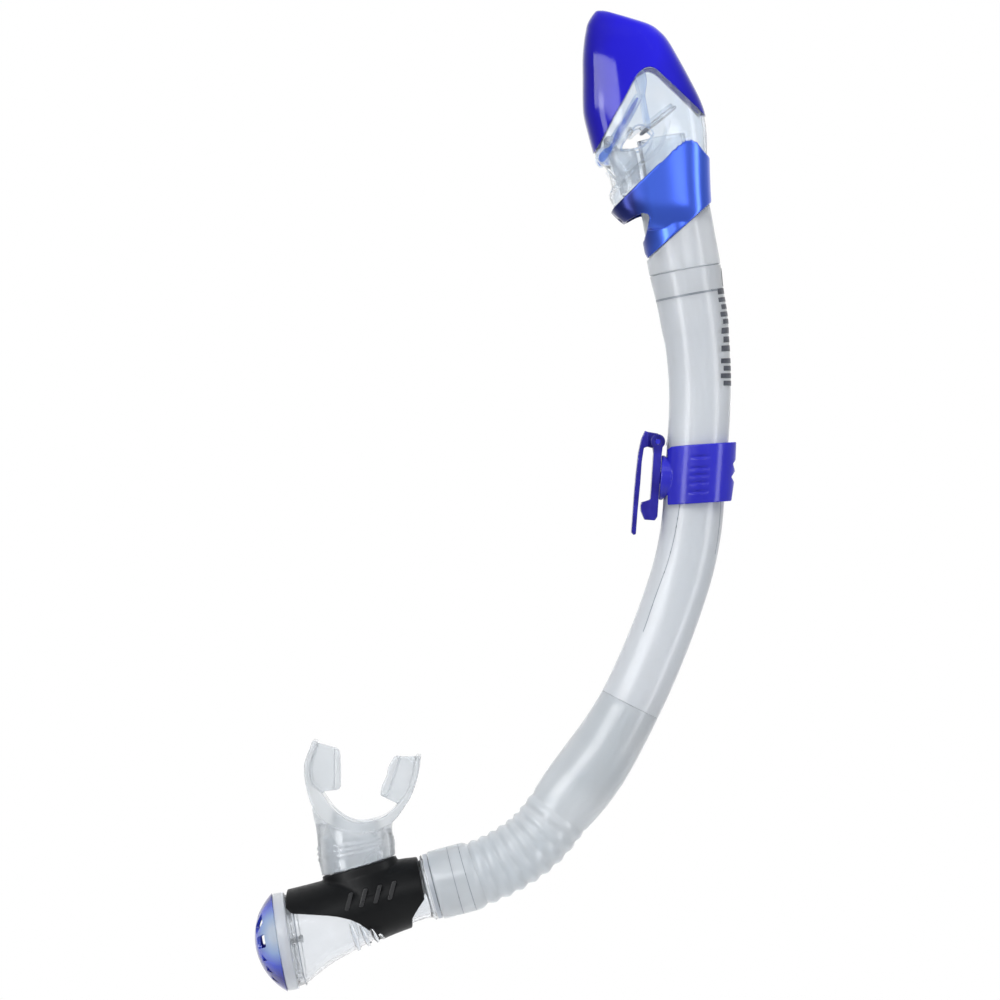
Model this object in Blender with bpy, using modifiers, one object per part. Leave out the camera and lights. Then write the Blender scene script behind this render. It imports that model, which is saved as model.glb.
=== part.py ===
"""Dry-top snorkel: every separate piece as its own closed solid.

Frame: the origin is the middle of the strap face on the clip, X runs from the
mouthpiece side to the tube side, Y runs through the object from its left side
to its right side and Z is up.  The outline numbers below are millimetres and
turn into metres when a mesh is made.
"""
import math

import bmesh
import bpy
from mathutils import Matrix, Vector

MM = 0.001
GAP = 0.3  # clearance between pieces that touch
SEGMENTS = 26  # facets round a pipe

# Breathing pipe: centreline from the seam under the dry top down to the hose
SEAM = (15.14, 92.93)
TOP_LEAN = -10.4  # degrees from vertical, positive leans the way the mouthpiece lies
PATH = [(17.0, 0.0), (54.0, 14.3), (36.0, 0.0), (35.0, 13.6), (50.0, 7.5), (51.0, 12.3)]
HOSE_PATH = [(24.0, 0.0), (14.0, 16.0), (32.0, 22.0), (12.5, 0.0)]
TUBE_LENGTH = sum(length for length, turn in PATH)
TUBE_WALL = 1.8
SLEEVE_R = 16.2
CUFF_GRIP = 39.8  # length of tube inside the hose's upper cuff

# Dry top
HOOD_WALL = 1.6
CHAMBER_WALL = 1.5
FLOOR_SLOPE = 0.184  # the chamber's floor is square to the pipe
SEAT_UP = 60.8  # the valve seat's height above the seam
PIPE_R = 10.8
PIPE_BORE = 9.3
LEVER_HINGE = (-13.5, 4.5)  # across and above the seat's centre
LEVER_ARM = 10.0
LEVER_SWING = 28.0

# Strap clip
CLIP_LEAN = 3.9
CLIP_UP = 92.6  # the clip's distance down the tube from the seam

# Hose
RIBS = 8
RIB_R = 14.95
GROOVE_R = 13.9
HOSE_WALL = 1.5

# Lower chamber and purge
PURGE_CENTRE = (-167.18, -209.38)
PURGE_LEAN = 9.5  # the purge axis points this far below horizontal
PURGE_R = 22.1


# ---------------------------------------------------------------- basics


def clear_scene():
    for thing in list(bpy.data.objects):
        bpy.data.objects.remove(thing, do_unlink=True)


def collection(name):
    made = bpy.data.collections.new(name)
    bpy.context.scene.collection.children.link(made)
    return made


def material(name, colour, roughness, metallic=0.0, clear=0.0):
    made = bpy.data.materials.new(name)
    made.use_nodes = True
    shader = made.node_tree.nodes["Principled BSDF"]
    shader.inputs["Base Color"].default_value = (*colour, 1.0)
    shader.inputs["Roughness"].default_value = roughness
    shader.inputs["Metallic"].default_value = metallic
    shader.inputs["Transmission Weight"].default_value = clear
    made.diffuse_color = (*colour, 1.0)
    return made


def new_object(name, mesh, group):
    made = bpy.data.objects.new(name, mesh)
    group.objects.link(made)
    return made


def to_mesh(thing):
    """The evaluated mesh of an object, which is then removed."""
    bpy.context.view_layer.update()
    graph = bpy.context.evaluated_depsgraph_get()
    mesh = bpy.data.meshes.new_from_object(thing.evaluated_get(graph), depsgraph=graph)
    mesh.transform(thing.matrix_world)
    old = thing.data
    bpy.data.objects.remove(thing, do_unlink=True)
    if isinstance(old, bpy.types.Curve):
        bpy.data.curves.remove(old)
    else:
        bpy.data.meshes.remove(old)
    return mesh


def tidy_mesh(mesh):
    shape = bmesh.new()
    shape.from_mesh(mesh)
    bmesh.ops.remove_doubles(shape, verts=shape.verts, dist=0.000002)
    bmesh.ops.recalc_face_normals(shape, faces=shape.faces)
    shape.to_mesh(mesh)
    shape.free()
    return mesh


def frame_of(origin, lean):
    """Maps (across, up) of a frame whose up leans by some degrees to (x, z)."""
    turn = math.radians(lean)

    def place(across, up):
        x = origin[0] + across * math.cos(turn) + up * math.sin(turn)
        z = origin[1] - across * math.sin(turn) + up * math.cos(turn)
        return (x, z)

    return place


def arc(centre, radius, start, end, steps):
    """Points on a circle from one angle to another, in degrees."""
    points = []
    for i in range(steps + 1):
        angle = math.radians(start + (end - start) * i / steps)
        points.append((centre[0] + radius * math.cos(angle), centre[1] + radius * math.sin(angle)))
    return points


def swing(points, centre, degrees):
    """Turns (across, up) points about a centre, right side going up."""
    c = math.cos(math.radians(degrees))
    s = math.sin(math.radians(degrees))
    turned_points = []
    for u, a in points:
        du = u - centre[0]
        da = a - centre[1]
        turned_points.append((centre[0] + du * c - da * s, centre[1] + du * s + da * c))
    return turned_points


def prism(outline, low, high):
    """A mesh: an outline in the XZ plane run through from y = low to y = high."""
    curve = bpy.data.curves.new("outline", "CURVE")
    curve.dimensions = "2D"
    curve.fill_mode = "BOTH"
    curve.extrude = (high - low) * 0.5 * MM
    line = curve.splines.new("POLY")
    line.points.add(len(outline) - 1)
    for point, (x, z) in zip(line.points, outline):
        point.co = (x * MM, z * MM, 0.0, 1.0)
    line.use_cyclic_u = True
    thing = new_object("outline", curve, bpy.context.scene.collection)
    thing.matrix_world = Matrix.Translation((0.0, (low + high) * 0.5 * MM, 0.0)) @ Matrix.Rotation(
        math.radians(90.0), 4, "X"
    )
    return tidy_mesh(to_mesh(thing))


def turned(profile, origin, lean, steps=SEGMENTS):
    """A mesh: a closed (radius, up) profile turned about the up axis of a leaning frame."""
    shape = bmesh.new()
    corners = [shape.verts.new((r * MM, 0.0, a * MM)) for r, a in profile]
    for i, corner in enumerate(corners):
        after = corners[(i + 1) % len(corners)]
        if corner.co.x > 1e-7 or after.co.x > 1e-7:
            shape.edges.new((corner, after))
    mesh = bpy.data.meshes.new("profile")
    shape.to_mesh(mesh)
    shape.free()
    thing = new_object("profile", mesh, bpy.context.scene.collection)
    screw = thing.modifiers.new("turn", "SCREW")
    screw.steps = steps
    screw.render_steps = steps
    screw.use_merge_vertices = True
    screw.merge_threshold = 0.00001
    thing.matrix_world = (
        Matrix.Translation((origin[0] * MM, 0.0, origin[1] * MM))
        @ Matrix.Rotation(math.radians(lean), 4, "Y")
    )
    return tidy_mesh(to_mesh(thing))


def rod(radius, centre, low, high, steps=16):
    """A mesh: a round pin along Y through an (x, z) point."""
    shape = bmesh.new()
    bmesh.ops.create_cone(
        shape,
        cap_ends=True,
        segments=steps,
        radius1=radius * MM,
        radius2=radius * MM,
        depth=(high - low) * MM,
        matrix=Matrix.Translation((centre[0] * MM, (low + high) * 0.5 * MM, centre[1] * MM))
        @ Matrix.Rotation(math.radians(90.0), 4, "X"),
    )
    mesh = bpy.data.meshes.new("rod")
    shape.to_mesh(mesh)
    shape.free()
    return mesh


def loft(rings, closed=False):
    """A mesh: faces between rings of equal point counts, capped unless the rings close on themselves."""
    shape = bmesh.new()
    rows = [[shape.verts.new(Vector(p) * MM) for p in ring] for ring in rings]
    count = len(rows[0])
    pairs = list(zip(rows, rows[1:] + rows[:1])) if closed else list(zip(rows, rows[1:]))
    for first, second in pairs:
        for i in range(count):
            k = (i + 1) % count
            shape.faces.new((first[i], first[k], second[k], second[i]))
    if not closed:
        shape.faces.new(rows[0])
        shape.faces.new(rows[-1])
    bmesh.ops.recalc_face_normals(shape, faces=shape.faces)
    mesh = bpy.data.meshes.new("loft")
    shape.to_mesh(mesh)
    shape.free()
    return mesh


def oval(centre, lean, rx, ry, steps=SEGMENTS):
    """A ring of points round a centreline that leans by some degrees."""
    turn = math.radians(lean)
    ring = []
    for i in range(steps):
        angle = 2.0 * math.pi * i / steps
        across = rx * math.cos(angle)
        x = centre[0] + across * math.cos(turn)
        z = centre[1] - across * math.sin(turn)
        ring.append((x, ry * math.sin(angle), z))
    return ring


def slab(x_low, x_high, half, r_low, r_high, z, corner=4):
    """A level ring with rounded corners, of radius r_low at its low end and r_high at its high end."""
    ring = []
    corners = [
        (x_high - r_high, half - r_high, r_high, 0.0),
        (x_low + r_low, half - r_low, r_low, 90.0),
        (x_low + r_low, r_low - half, r_low, 180.0),
        (x_high - r_high, r_high - half, r_high, 270.0),
    ]
    for x, y, r, start in corners:
        for px, py in arc((x, y), r, start, start + 90.0, corner):
            ring.append((px, py, z))
    return ring


def cut(thing, mesh, group, operation="DIFFERENCE", solver="EXACT"):
    """Adds a Boolean with a hidden cutter made from the mesh."""
    cutter = new_object(f"{thing.name}_cut_{len(thing.modifiers) + 1}", mesh, group)
    cutter.hide_render = True
    cutter.display_type = "WIRE"
    step = thing.modifiers.new(operation.lower(), "BOOLEAN")
    step.operation = operation
    step.solver = solver
    step.object = cutter
    return cutter


# ---------------------------------------------------------------- centrelines


def walk(start, lean, path, distance):
    """The (x, z) point and the lean a distance along a chain of arcs that runs downward."""
    x, z = start
    left = distance
    for length, turn in path:
        part = min(left, length)
        steps = 12
        for i in range(steps):
            middle = math.radians(lean + turn * (part / length) * (i + 0.5) / steps)
            x -= math.sin(middle) * part / steps
            z -= math.cos(middle) * part / steps
        lean += turn * part / length
        left -= part
        if left <= 0.0:
            break
    if left > 0.0:
        x -= math.sin(math.radians(lean)) * left
        z -= math.cos(math.radians(lean)) * left
    return (x, z), lean


def pipe_at(distance):
    """Centreline of the tube and, past its end, of the hose."""
    return walk(SEAM, TOP_LEAN, PATH + HOSE_PATH, distance)


TOP = frame_of(SEAM, TOP_LEAN)
SEAT_CENTRE = TOP(0.0, SEAT_UP)
SEAT = frame_of(SEAT_CENTRE, TOP_LEAN)
CLIP = frame_of((0.0, 0.0), CLIP_LEAN)
PURGE = frame_of(PURGE_CENTRE, -90.0 - PURGE_LEAN)


# ---------------------------------------------------------------- outlines

HOOD_EDGE = [(-26.32, 145.35), (-23.18, 150.3), (-17.78, 160.65), (-11.93, 171), (-7.88, 178.65),
             (-4.73, 182.25), (-1.57, 183.6),
             (1.57, 182.7), (5.17, 179.55), (11.03, 174.15), (17.32, 168.3), (24.07, 162.22)]

# level, low end, high end, half depth, corner radius at the low end and at the high end
HOOD_LEVELS = [
    (209.47, -24.98, -20.48, 6, 2.0, 2.0),
    (208.35, -26.1, -16.43, 8, 4.0, 4.0),
    (206.1, -27.68, -8.78, 10.5, 6.0, 6.5),
    (203.4, -29.03, -0.68, 12.3, 8.0, 9.0),
    (200.25, -29.7, 3.83, 13.6, 9.0, 10.5),
    (196.2, -30.38, 7.42, 14.6, 10.0, 11.5),
    (188.55, -31.05, 11.93, 15.8, 10.5, 12.5),
    (178.65, -31.05, 17.32, 16.5, 11.0, 13.0),
    (169.65, -31.05, 21.82, 16.8, 11.0, 13.5),
    (162.45, -30.6, 24.21, 16.8, 11.0, 13.5),
    (153.9, -28.57, 24.75, 16.8, 11.0, 13.5),
    (144.9, -26.1, 25.43, 16.8, 11.0, 13.5),
]
CHAMBER_LEVELS = [
    (185.85, -30.92, 13.28, 16.0, 10.5, 12.5),
    (178.65, -30.92, 17.19, 16.5, 11.0, 13.0),
    (169.65, -30.92, 21.69, 16.8, 11.0, 13.5),
    (161.55, -30.38, 23.76, 16.8, 11.0, 13.5),
    (153.9, -28.35, 24.66, 16.8, 11.0, 13.5),
    (144, -23.4, 24.88, 16.8, 11.0, 13.5),
    (141.3, -20.93, 24.3, 16.8, 11.0, 13.5),
    (130.5, -18, 24.3, 16.8, 11.0, 13.5),
    (126, -18.9, 24.3, 16.8, 11.0, 13.5),
    (121.73, -17.1, 24.3, 16.8, 11.0, 13.5),
]
FLOAT_LEVELS = [
    (147.15, -19.12, -8.33, 10, 5, 3),
    (146.25, -20.03, -7.2, 12, 7, 4),
    (140.85, -18.23, -6.08, 12, 7, 4),
    (130.5, -15.3, -4.37, 12, 7, 4),
    (127.35, -14.18, -3.83, 12, 7, 4),
    (126.23, -13.05, -4.73, 10, 5, 3),
]
COLLAR_LEVELS = [
    (154.35, -30.38, 26.15, 18.2, 12.4, 14.9),
    (142.65, -24.98, 26.15, 18.2, 12.4, 14.9),
    (130.5, -22.28, 26.5, 18.2, 12.4, 14.9),
    (121.05, -19.35, 26.95, 18.2, 12.4, 14.9),
    (117.45, -17.1, 26.95, 17.6, 12.0, 14.6),
    (113.85, -14.18, 26.32, 16.6, 11.0, 14.0),
    (111.6, -5.17, 24.98, 15.6, 10.0, 13.4),
]
COLLAR_OUTLINE = [(-17.1, 120.83), (14.62, 151.65), (16.43, 152.1), (18.68, 150.75), (21.82, 147.15),
                  (27.23, 142.2),
                  (29.93, 126.45), (2.93, 102.38), (-2.02, 97.88), (-4.73, 103.95), (-3.24, 106.65),
                  (-1.8, 112.95),
                  (-1.12, 116.78), (-3.83, 117.99), (-6.98, 116.78), (-12.83, 113.4), (-18.23, 119.03)]
NOTCH = [(-27.68, 122.4), (-5.17, 120.6), (-1.48, 118.8), (-0.99, 116.78), (-1.62, 112.95), (-3.06, 106.65),
         (-4.55, 103.95),
         (-2.02, 98.55), (-23.18, 96.75)]


def level_ring(level, inset=0.0):
    z, low, high, half, r_low, r_high = level
    return slab(low + inset, high - inset, half - inset, r_low - inset * 0.8, r_high - inset * 0.8, z)


def edge_region(edge, top, bottom, far=60.0, lift=0.0):
    """An outline that keeps everything above (top) or below (bottom) an edge."""
    first = edge[0]
    last = edge[-1]
    line = [(x, z + lift) for x, z in edge]
    if top is not None:
        return line + [(far, last[1] + lift), (far, top), (-far, top), (-far, first[1] + lift)]
    return line + [(far, last[1] + lift), (far, bottom), (-far, bottom), (-far, first[1] + lift)]


# ---------------------------------------------------------------- dry top


def make_hood(parts, cutters, paint):
    outer = loft([level_ring(level) for level in HOOD_LEVELS])
    hood = new_object("hood", outer, parts)
    rings = [level_ring((level[0] - 1.1, *level[1:]), HOOD_WALL) for level in HOOD_LEVELS[2:]]
    z, low, high, half, r_low, r_high = HOOD_LEVELS[-1]
    rings.append(level_ring((z - 8.0, low, high, half, r_low, r_high), HOOD_WALL))
    cut(hood, loft(rings), cutters)
    cut(hood, prism(edge_region(HOOD_EDGE, 220.0, None), -30.0, 30.0), cutters, "INTERSECT")
    hood.data.materials.append(paint)


def make_chamber(parts, cutters, paint):
    chamber = new_object("float_chamber", loft([level_ring(level) for level in CHAMBER_LEVELS]), parts)
    rings = [level_ring((level[0] + 4.0, *level[1:]), CHAMBER_WALL) for level in CHAMBER_LEVELS[:1]]
    rings += [level_ring(level, CHAMBER_WALL) for level in CHAMBER_LEVELS[1:-3]]
    for level, lift, share in ((CHAMBER_LEVELS[-3], 0.0, 0.6), (CHAMBER_LEVELS[-1], 2.0, 1.0)):
        floor = level_ring(level, CHAMBER_WALL)
        rings.append([(x, y, z + lift + share * FLOOR_SLOPE * (x + 17.0)) for x, y, z in floor])
    cut(chamber, loft(rings), cutters)
    region = [(x, z - 0.35) for x, z in HOOD_EDGE]
    region += [(60.0, region[-1][1]), (66.83, 135.9), (-41.18, 117.23), (-60.0, region[0][1])]
    cut(chamber, prism(region, -30.0, 30.0), cutters, "INTERSECT")
    hole = turned([(0.0, 20.0), (PIPE_R + GAP, 20.0), (PIPE_R + GAP, 45.0), (0.0, 45.0)], SEAM, TOP_LEAN)
    cut(chamber, hole, cutters)
    window = [(-13.28, 148.05), (-5.17, 157.05), (-0.23, 154.35), (-5.62, 147.6)]
    cut(chamber, prism(window, -30.0, 30.0), cutters)
    drain = [(-14.62, 129.15), (-5.17, 129.15), (-5.17, 117.45), (-14.62, 117.45)]
    cut(chamber, prism(drain, -8.0, 8.0), cutters)
    chamber.data.materials.append(paint)


def make_collar(parts, cutters, paint):
    collar = new_object("splash_collar", loft([level_ring(level) for level in COLLAR_LEVELS]), parts)
    sleeve = turned([(0.0, 3.0), (16.5, 3.0), (16.5, 31.5), (0.0, 31.5)], SEAM, TOP_LEAN, 30)
    cut(collar, sleeve, cutters, "UNION")
    cut(collar, prism(COLLAR_OUTLINE, -30.0, 30.0), cutters, "INTERSECT")
    rings = [level_ring(level, 1.1) for level in COLLAR_LEVELS[:-2]]
    first = COLLAR_LEVELS[0]
    rings.insert(0, level_ring((first[0] + 10.0, *first[1:]), 1.1))
    last = COLLAR_LEVELS[-2]
    rings.append(level_ring((last[0] + 3.0, *last[1:]), 1.3))
    cut(collar, loft(rings), cutters)
    bore = turned([(0.0, 0.0), (15.25, 0.0), (15.25, 38.0), (0.0, 38.0)], SEAM, TOP_LEAN, 30)
    cut(collar, bore, cutters)
    mouth = [(-14.4, 121.95), (-8.78, 121.95), (-8.78, 106.65), (-14.4, 106.65)]
    cut(collar, prism(mouth, -9.0, 9.0), cutters)
    collar.data.materials.append(paint)


def make_connector(parts, cutters, paint):
    low = -11.4
    profile = [
        (PIPE_BORE, SEAT_UP),
        (11.0, SEAT_UP),
        (11.0, SEAT_UP - 2.0),
        (PIPE_R, SEAT_UP - 2.6),
        (PIPE_R, 23.0),
        (13.4, 22.0),
        (13.4, 30.0),
        (SLEEVE_R, 30.0),
        (SLEEVE_R, 0.2),
        (13.2, 0.2),
        (13.2, -4.0),
        (12.2, -4.0),
        (12.2, -6.4),
        (13.2, -6.4),
        (13.2, low + 0.6),
        (12.6, low),
        (PIPE_BORE, low),
    ]
    connector = new_object("top_connector", turned(profile, SEAM, TOP_LEAN), parts)
    ring = turned([(14.9, 2.0), (22.0, 2.0), (22.0, 40.0), (14.9, 40.0)], SEAM, TOP_LEAN)
    above = [(30.82, 126.99), (-0.9, 98.55), (-23.18, 78.53), (-41.18, 78.75), (-41.18, 160.65),
             (48.83, 160.65), (48.83, 143.1)]
    trim = new_object("connector_trim", ring, cutters)
    trim.hide_render = True
    trim.display_type = "WIRE"
    cut(trim, prism(above, -30.0, 30.0), cutters, "INTERSECT")
    step = connector.modifiers.new("slant", "BOOLEAN")
    step.operation = "DIFFERENCE"
    step.solver = "EXACT"
    step.object = trim
    cut(connector, prism(NOTCH, -30.0, 30.0), cutters)
    connector.data.materials.append(paint)


def make_o_ring(parts, paint):
    turns = [2.0 * math.pi * i / 8 for i in range(8)]
    profile = [(12.5 + 0.45 * (1.0 + math.cos(t)), -5.2 + 0.9 * math.sin(t)) for t in turns]
    ring = new_object("connector_o_ring", turned(profile, SEAM, TOP_LEAN), parts)
    ring.data.materials.append(paint)


def lever_points(points):
    """Lever outline points, drawn with the valve shut, placed with the valve open."""
    return [SEAT(u, a) for u, a in swing(points, LEVER_HINGE, LEVER_SWING)]


def make_lever(parts, cutters, paint):
    hinge = SEAT(*LEVER_HINGE)
    lever = new_object("valve_lever", rod(2.6, hinge, -4.0, 4.0, 20), parts)
    arm = [(-13.0, 2.2), (-9.0, 1.95), (-1.0, 1.95), (-1.0, 3.45), (-9.0, 3.45), (-12.6, 6.6)]
    cut(lever, prism(lever_points(arm), -3.6, 3.6), cutters, "UNION")
    centre = lever_points([(0.0, 0.0)])[0]
    plate = [(0.0, 1.95), (9.5, 1.95), (9.5, 3.45), (0.0, 3.45)]
    cut(lever, turned(plate, centre, TOP_LEAN - LEVER_SWING, 24), cutters, "UNION")
    half = math.radians(LEVER_SWING / 2.0)
    fork = [(1.0, -1.8), (7.5, -2.7), (12.0, -2.7), (12.0, -1.4), (8.2, -1.4), (8.2, 1.4), (12.0, 1.4),
            (12.0, 2.7), (7.5, 2.7), (1.0, 1.8)]
    tongue = []
    for d, n in fork:
        u = LEVER_HINGE[0] - d * math.cos(half) + n * math.sin(half)
        a = LEVER_HINGE[1] + d * math.sin(half) + n * math.cos(half)
        tongue.append((u, a))
    cut(lever, prism(lever_points(tongue), -2.2, 2.2), cutters, "UNION")
    cut(lever, rod(1.55, hinge, -6.0, 6.0, 16), cutters)
    lever.data.materials.append(paint)


def make_seal(parts, paint):
    centre = lever_points([(0.0, 0.0)])[0]
    disc = [(0.0, 0.15), (9.6, 0.15), (10.4, 0.6), (10.4, 1.2), (9.8, 1.65), (0.0, 1.65)]
    seal = new_object("valve_seal", turned(disc, centre, TOP_LEAN - LEVER_SWING, 28), parts)
    seal.data.materials.append(paint)


def make_lever_pin(parts, paint):
    pin = new_object("lever_pin", rod(1.25, SEAT(*LEVER_HINGE), -14.6, 14.6), parts)
    pin.data.materials.append(paint)


def make_float(parts, cutters, paint):
    made = new_object("float", loft([level_ring(level) for level in FLOAT_LEVELS]), parts)
    pin = float_pin_centre()
    lug = [(-21.15, 145.8)] + arc(pin, 2.6, 180.0, 0.0, 8) + [(-14.4, 145.8)]
    cut(made, prism(lug, 2.7, 4.9), cutters, "UNION")
    cut(made, prism(lug, -4.9, -2.7), cutters, "UNION")
    cut(made, rod(1.3, pin, -6.0, 6.0, 14), cutters)
    made.data.materials.append(paint)


def float_pin_centre():
    half = math.radians(LEVER_SWING / 2.0)
    return SEAT(LEVER_HINGE[0] - LEVER_ARM * math.cos(half), LEVER_HINGE[1] - LEVER_ARM * math.sin(half))


def make_float_pin(parts, paint):
    pin = new_object("float_pin", rod(1.0, float_pin_centre(), -4.9, 4.9, 14), parts)
    pin.data.materials.append(paint)


# ---------------------------------------------------------------- tube


def blend_between(table, s):
    """Straight-line reading of a table of (distance, value...) rows."""
    if s <= table[0][0]:
        return table[0][1:]
    for first, second in zip(table, table[1:]):
        if s <= second[0]:
            share = (s - first[0]) / (second[0] - first[0])
            return tuple(a + (b - a) * share for a, b in zip(first[1:], second[1:]))
    return table[-1][1:]


TUBE_OUTSIDE = [(0.2, 16.1, 16.1), (4.0, 15.9, 15.9), (11.0, 15.3, 15.3), (25.0, 15.1, 14.6),
                (32.0, 14.4, 13.6),
                (46.0, 14.1, 12.5), (66.0, 13.9, 12.2), (150.0, 13.8, 12.2), (194.0, 13.9, 13.7),
                (200.6, 13.95, 13.9), (202.6, 12.9, 12.9), (243.0, 12.9, 12.9)]


def tube_outside(s):
    return blend_between(TUBE_OUTSIDE, s)


def tube_inside(s):
    rx, ry = tube_outside(s)
    if s <= 12.6:
        return 13.6, 13.6
    return rx - TUBE_WALL, ry - TUBE_WALL


def stations(start, end, step):
    count = max(1, round((end - start) / step))
    return [start + (end - start) * i / count for i in range(count + 1)]


def make_tube(parts, cutters, paint):
    marks = [0.2, 4.0, 11.0] + stations(14.0, 66.0, 8.6) + stations(73.0, 107.0, 17.0)
    marks += stations(117.0, 200.6, 9.4) + stations(202.6, TUBE_LENGTH, 8.4)
    outside = []
    for s in marks:
        centre, lean = pipe_at(s)
        rx, ry = tube_outside(s)
        outside.append(oval(centre, lean, rx, ry, SEGMENTS))
    inside = []
    for s in reversed([0.2, 12.6, 12.9] + marks[4:]):
        centre, lean = pipe_at(s)
        rx, ry = tube_inside(s)
        inside.append(oval(centre, lean, rx, ry, SEGMENTS))
    tube = new_object("tube", loft(outside + inside, closed=True), parts)
    stop = [(6.43, 14.26), (8.01, 20.25), (8.46, 20.25), (8.46, 14.26)]
    cut(tube, prism(stop, -3.0, 3.0), cutters, "UNION")
    tube.data.materials.append(paint)


# ---------------------------------------------------------------- strap clip


def clip_oval(inset_x, rx, ry, a_low, a_high, steps=36):
    """A straight oval bar along the clip's up axis round the tube's centreline."""
    centre, lean = pipe_at(CLIP_UP)
    at = frame_of(centre, lean)
    rings = []
    for a in (a_high, a_low):
        rings.append(oval(at(inset_x, a), lean, rx, ry, steps))
    return loft(rings)


def make_keeper(parts, cutters, paint):
    ring = new_object("keeper_ring", clip_oval(1.4, 16.3, 14.6, -20.0, 20.0), parts)
    side = [(6.98, 12.24), (8.78, 13.64), (38.02, 15.75), (37.8, 7.65), (36.23, 5.4), (37.58, 2.7), (35.33, 0),
            (37.12, -2.25), (35.77, -10.8), (29.48, -11.25), (6.98, -12.6)]
    cut(ring, prism(side, -30.0, 30.0), cutters, "INTERSECT")
    boss = turned([(0.0, 4.1), (10.1, 4.1), (10.1, 8.5), (0.0, 8.5)], (0.0, 0.0), 90.0 + CLIP_LEAN, 28)
    cut(ring, boss, cutters, "UNION")
    cut(ring, clip_oval(0.0, 14.2, 12.6, -24.0, 24.0), cutters)
    socket = turned([(0.0, 3.0), (2.5, 3.0), (2.5, 7.5), (0.0, 7.5)], (0.0, 0.0), 90.0 + CLIP_LEAN, 16)
    cut(ring, socket, cutters)
    ring.data.materials.append(paint)


KNUCKLE = (2.7, 15.89)
KNUCKLE_R = 3.3


def make_plate(parts, cutters, paint):
    face = [(0.0, 10.9), (0.0, -10.0), (-0.6, -10.4)]
    block = [(-3.8, -11.6), (-4.15, -13.2), (-3.9, -15.6), (-2.0, -19.4), (2.6, -19.4), (3.7, -17.6),
             (3.7, 10.9)]
    plate = new_object("strap_plate", prism([CLIP(u, a) for u, a in face + block], -8.0, 8.0), parts)
    web = [CLIP(0.4, 9.0), CLIP(3.7, 9.0), CLIP(3.9, 13.6), CLIP(-0.4, 13.6)]
    for low, high in ((4.9, 8.0), (-8.0, -4.9)):
        cut(plate, prism(web, low, high), cutters, "UNION")
        cut(plate, rod(KNUCKLE_R, KNUCKLE, low, high, 24), cutters, "UNION")
    cut(plate, rod(1.5, KNUCKLE, -12.0, 12.0, 16), cutters)
    stud = turned([(0.0, 3.0), (2.2, 3.0), (2.2, 5.0), (0.0, 5.0)], (0.0, 0.0), 90.0 + CLIP_LEAN, 16)
    cut(plate, stud, cutters, "UNION")
    plate.data.materials.append(paint)


def make_gate(parts, cutters, paint):
    arm = [(-1.4, 20.16), (-3.1, 20.7), (-4.73, 17.1), (-6.08, 10.8), (-7.88, -6.3), (-9.22, -24.98),
           (-8.1, -26.1),
           (-7.15, -25.65), (-6.43, -15.75), (-5.17, -2.7), (-4.5, 6.75), (-3.55, 13.05), (-1.4, 13.77)]
    gate = new_object("clip_gate", prism(arm, -7.0, 7.0), parts)
    bridge = [(-2.02, 20.34), (2.93, 19.53), (2.93, 12.33), (-2.02, 13.59)]
    cut(gate, prism(bridge, -4.5, 4.5), cutters, "UNION")
    cut(gate, rod(KNUCKLE_R, KNUCKLE, -4.5, 4.5, 24), cutters, "UNION")
    cut(gate, rod(1.5, KNUCKLE, -12.0, 12.0, 16), cutters)
    gate.data.materials.append(paint)


def make_gate_pin(parts, paint):
    pin = new_object("gate_pin", rod(1.2, KNUCKLE, -8.0, 8.0), parts)
    pin.data.materials.append(paint)


# ---------------------------------------------------------------- hose

CUFF_TOP = TUBE_LENGTH - CUFF_GRIP
RIB_START = 259.3
RIB_END = 305.7
HOSE_END = 325.5
SPIGOT_START = 316.2


def hose_profile():
    """(distance, outer radius, inner radius) rows down the hose."""
    rows = [(CUFF_TOP, 14.0, 13.2), (CUFF_TOP + 0.8, 14.3, 13.2), (212.0, 14.4, 13.2), (222.0, 15.0, 13.2),
            (232.0, 15.6, 13.2), (TUBE_LENGTH + 0.4, 15.7, 13.2), (TUBE_LENGTH + 0.6, 15.7, 11.9),
            (250.0, 15.4, 11.9), (256.0, 14.9, 12.1)]
    pitch = (RIB_END - RIB_START) / RIBS
    for i in range(RIBS):
        start = RIB_START + pitch * i
        rows.append((start, GROOVE_R, GROOVE_R - HOSE_WALL))
        rows.append((start + pitch * 0.5, RIB_R, GROOVE_R - HOSE_WALL + 0.8))
    rows += [(RIB_END, GROOVE_R, 12.1), (RIB_END + 1.6, 15.5, 12.2), (315.6, 15.6, 12.2), (315.9, 15.6, 13.95),
             (HOSE_END - 0.8, 15.5, 13.95), (HOSE_END, 15.0, 13.95)]
    return rows


def make_hose(parts, paint):
    outside = []
    inside = []
    for s, outer, inner in hose_profile():
        centre, lean = pipe_at(s)
        outside.append(oval(centre, lean, outer, outer, 22))
        inside.append(oval(centre, lean, inner, inner, 22))
    hose = new_object("flex_hose", loft(outside + inside[::-1], closed=True), parts)
    hose.data.materials.append(paint)


def make_gasket(parts, paint):
    centre, lean = pipe_at(HOSE_END + 0.4)
    profile = [(13.95, 0.0), (14.9, 0.0), (14.9, -1.8), (13.95, -1.8)]
    ring = new_object("hose_gasket", turned(profile, centre, lean), parts)
    ring.data.materials.append(paint)


# ---------------------------------------------------------------- lower chamber


def between(top, bottom, ry, steps=SEGMENTS, grow=0.0):
    """A ring whose in-plane diameter joins two (x, z) points."""
    centre = ((top[0] + bottom[0]) / 2.0, (top[1] + bottom[1]) / 2.0)
    dx = bottom[0] - top[0]
    dz = bottom[1] - top[1]
    lean = math.degrees(math.atan2(dz, dx))
    return oval(centre, -lean, math.hypot(dx, dz) / 2.0 + grow, ry + grow, steps)


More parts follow.
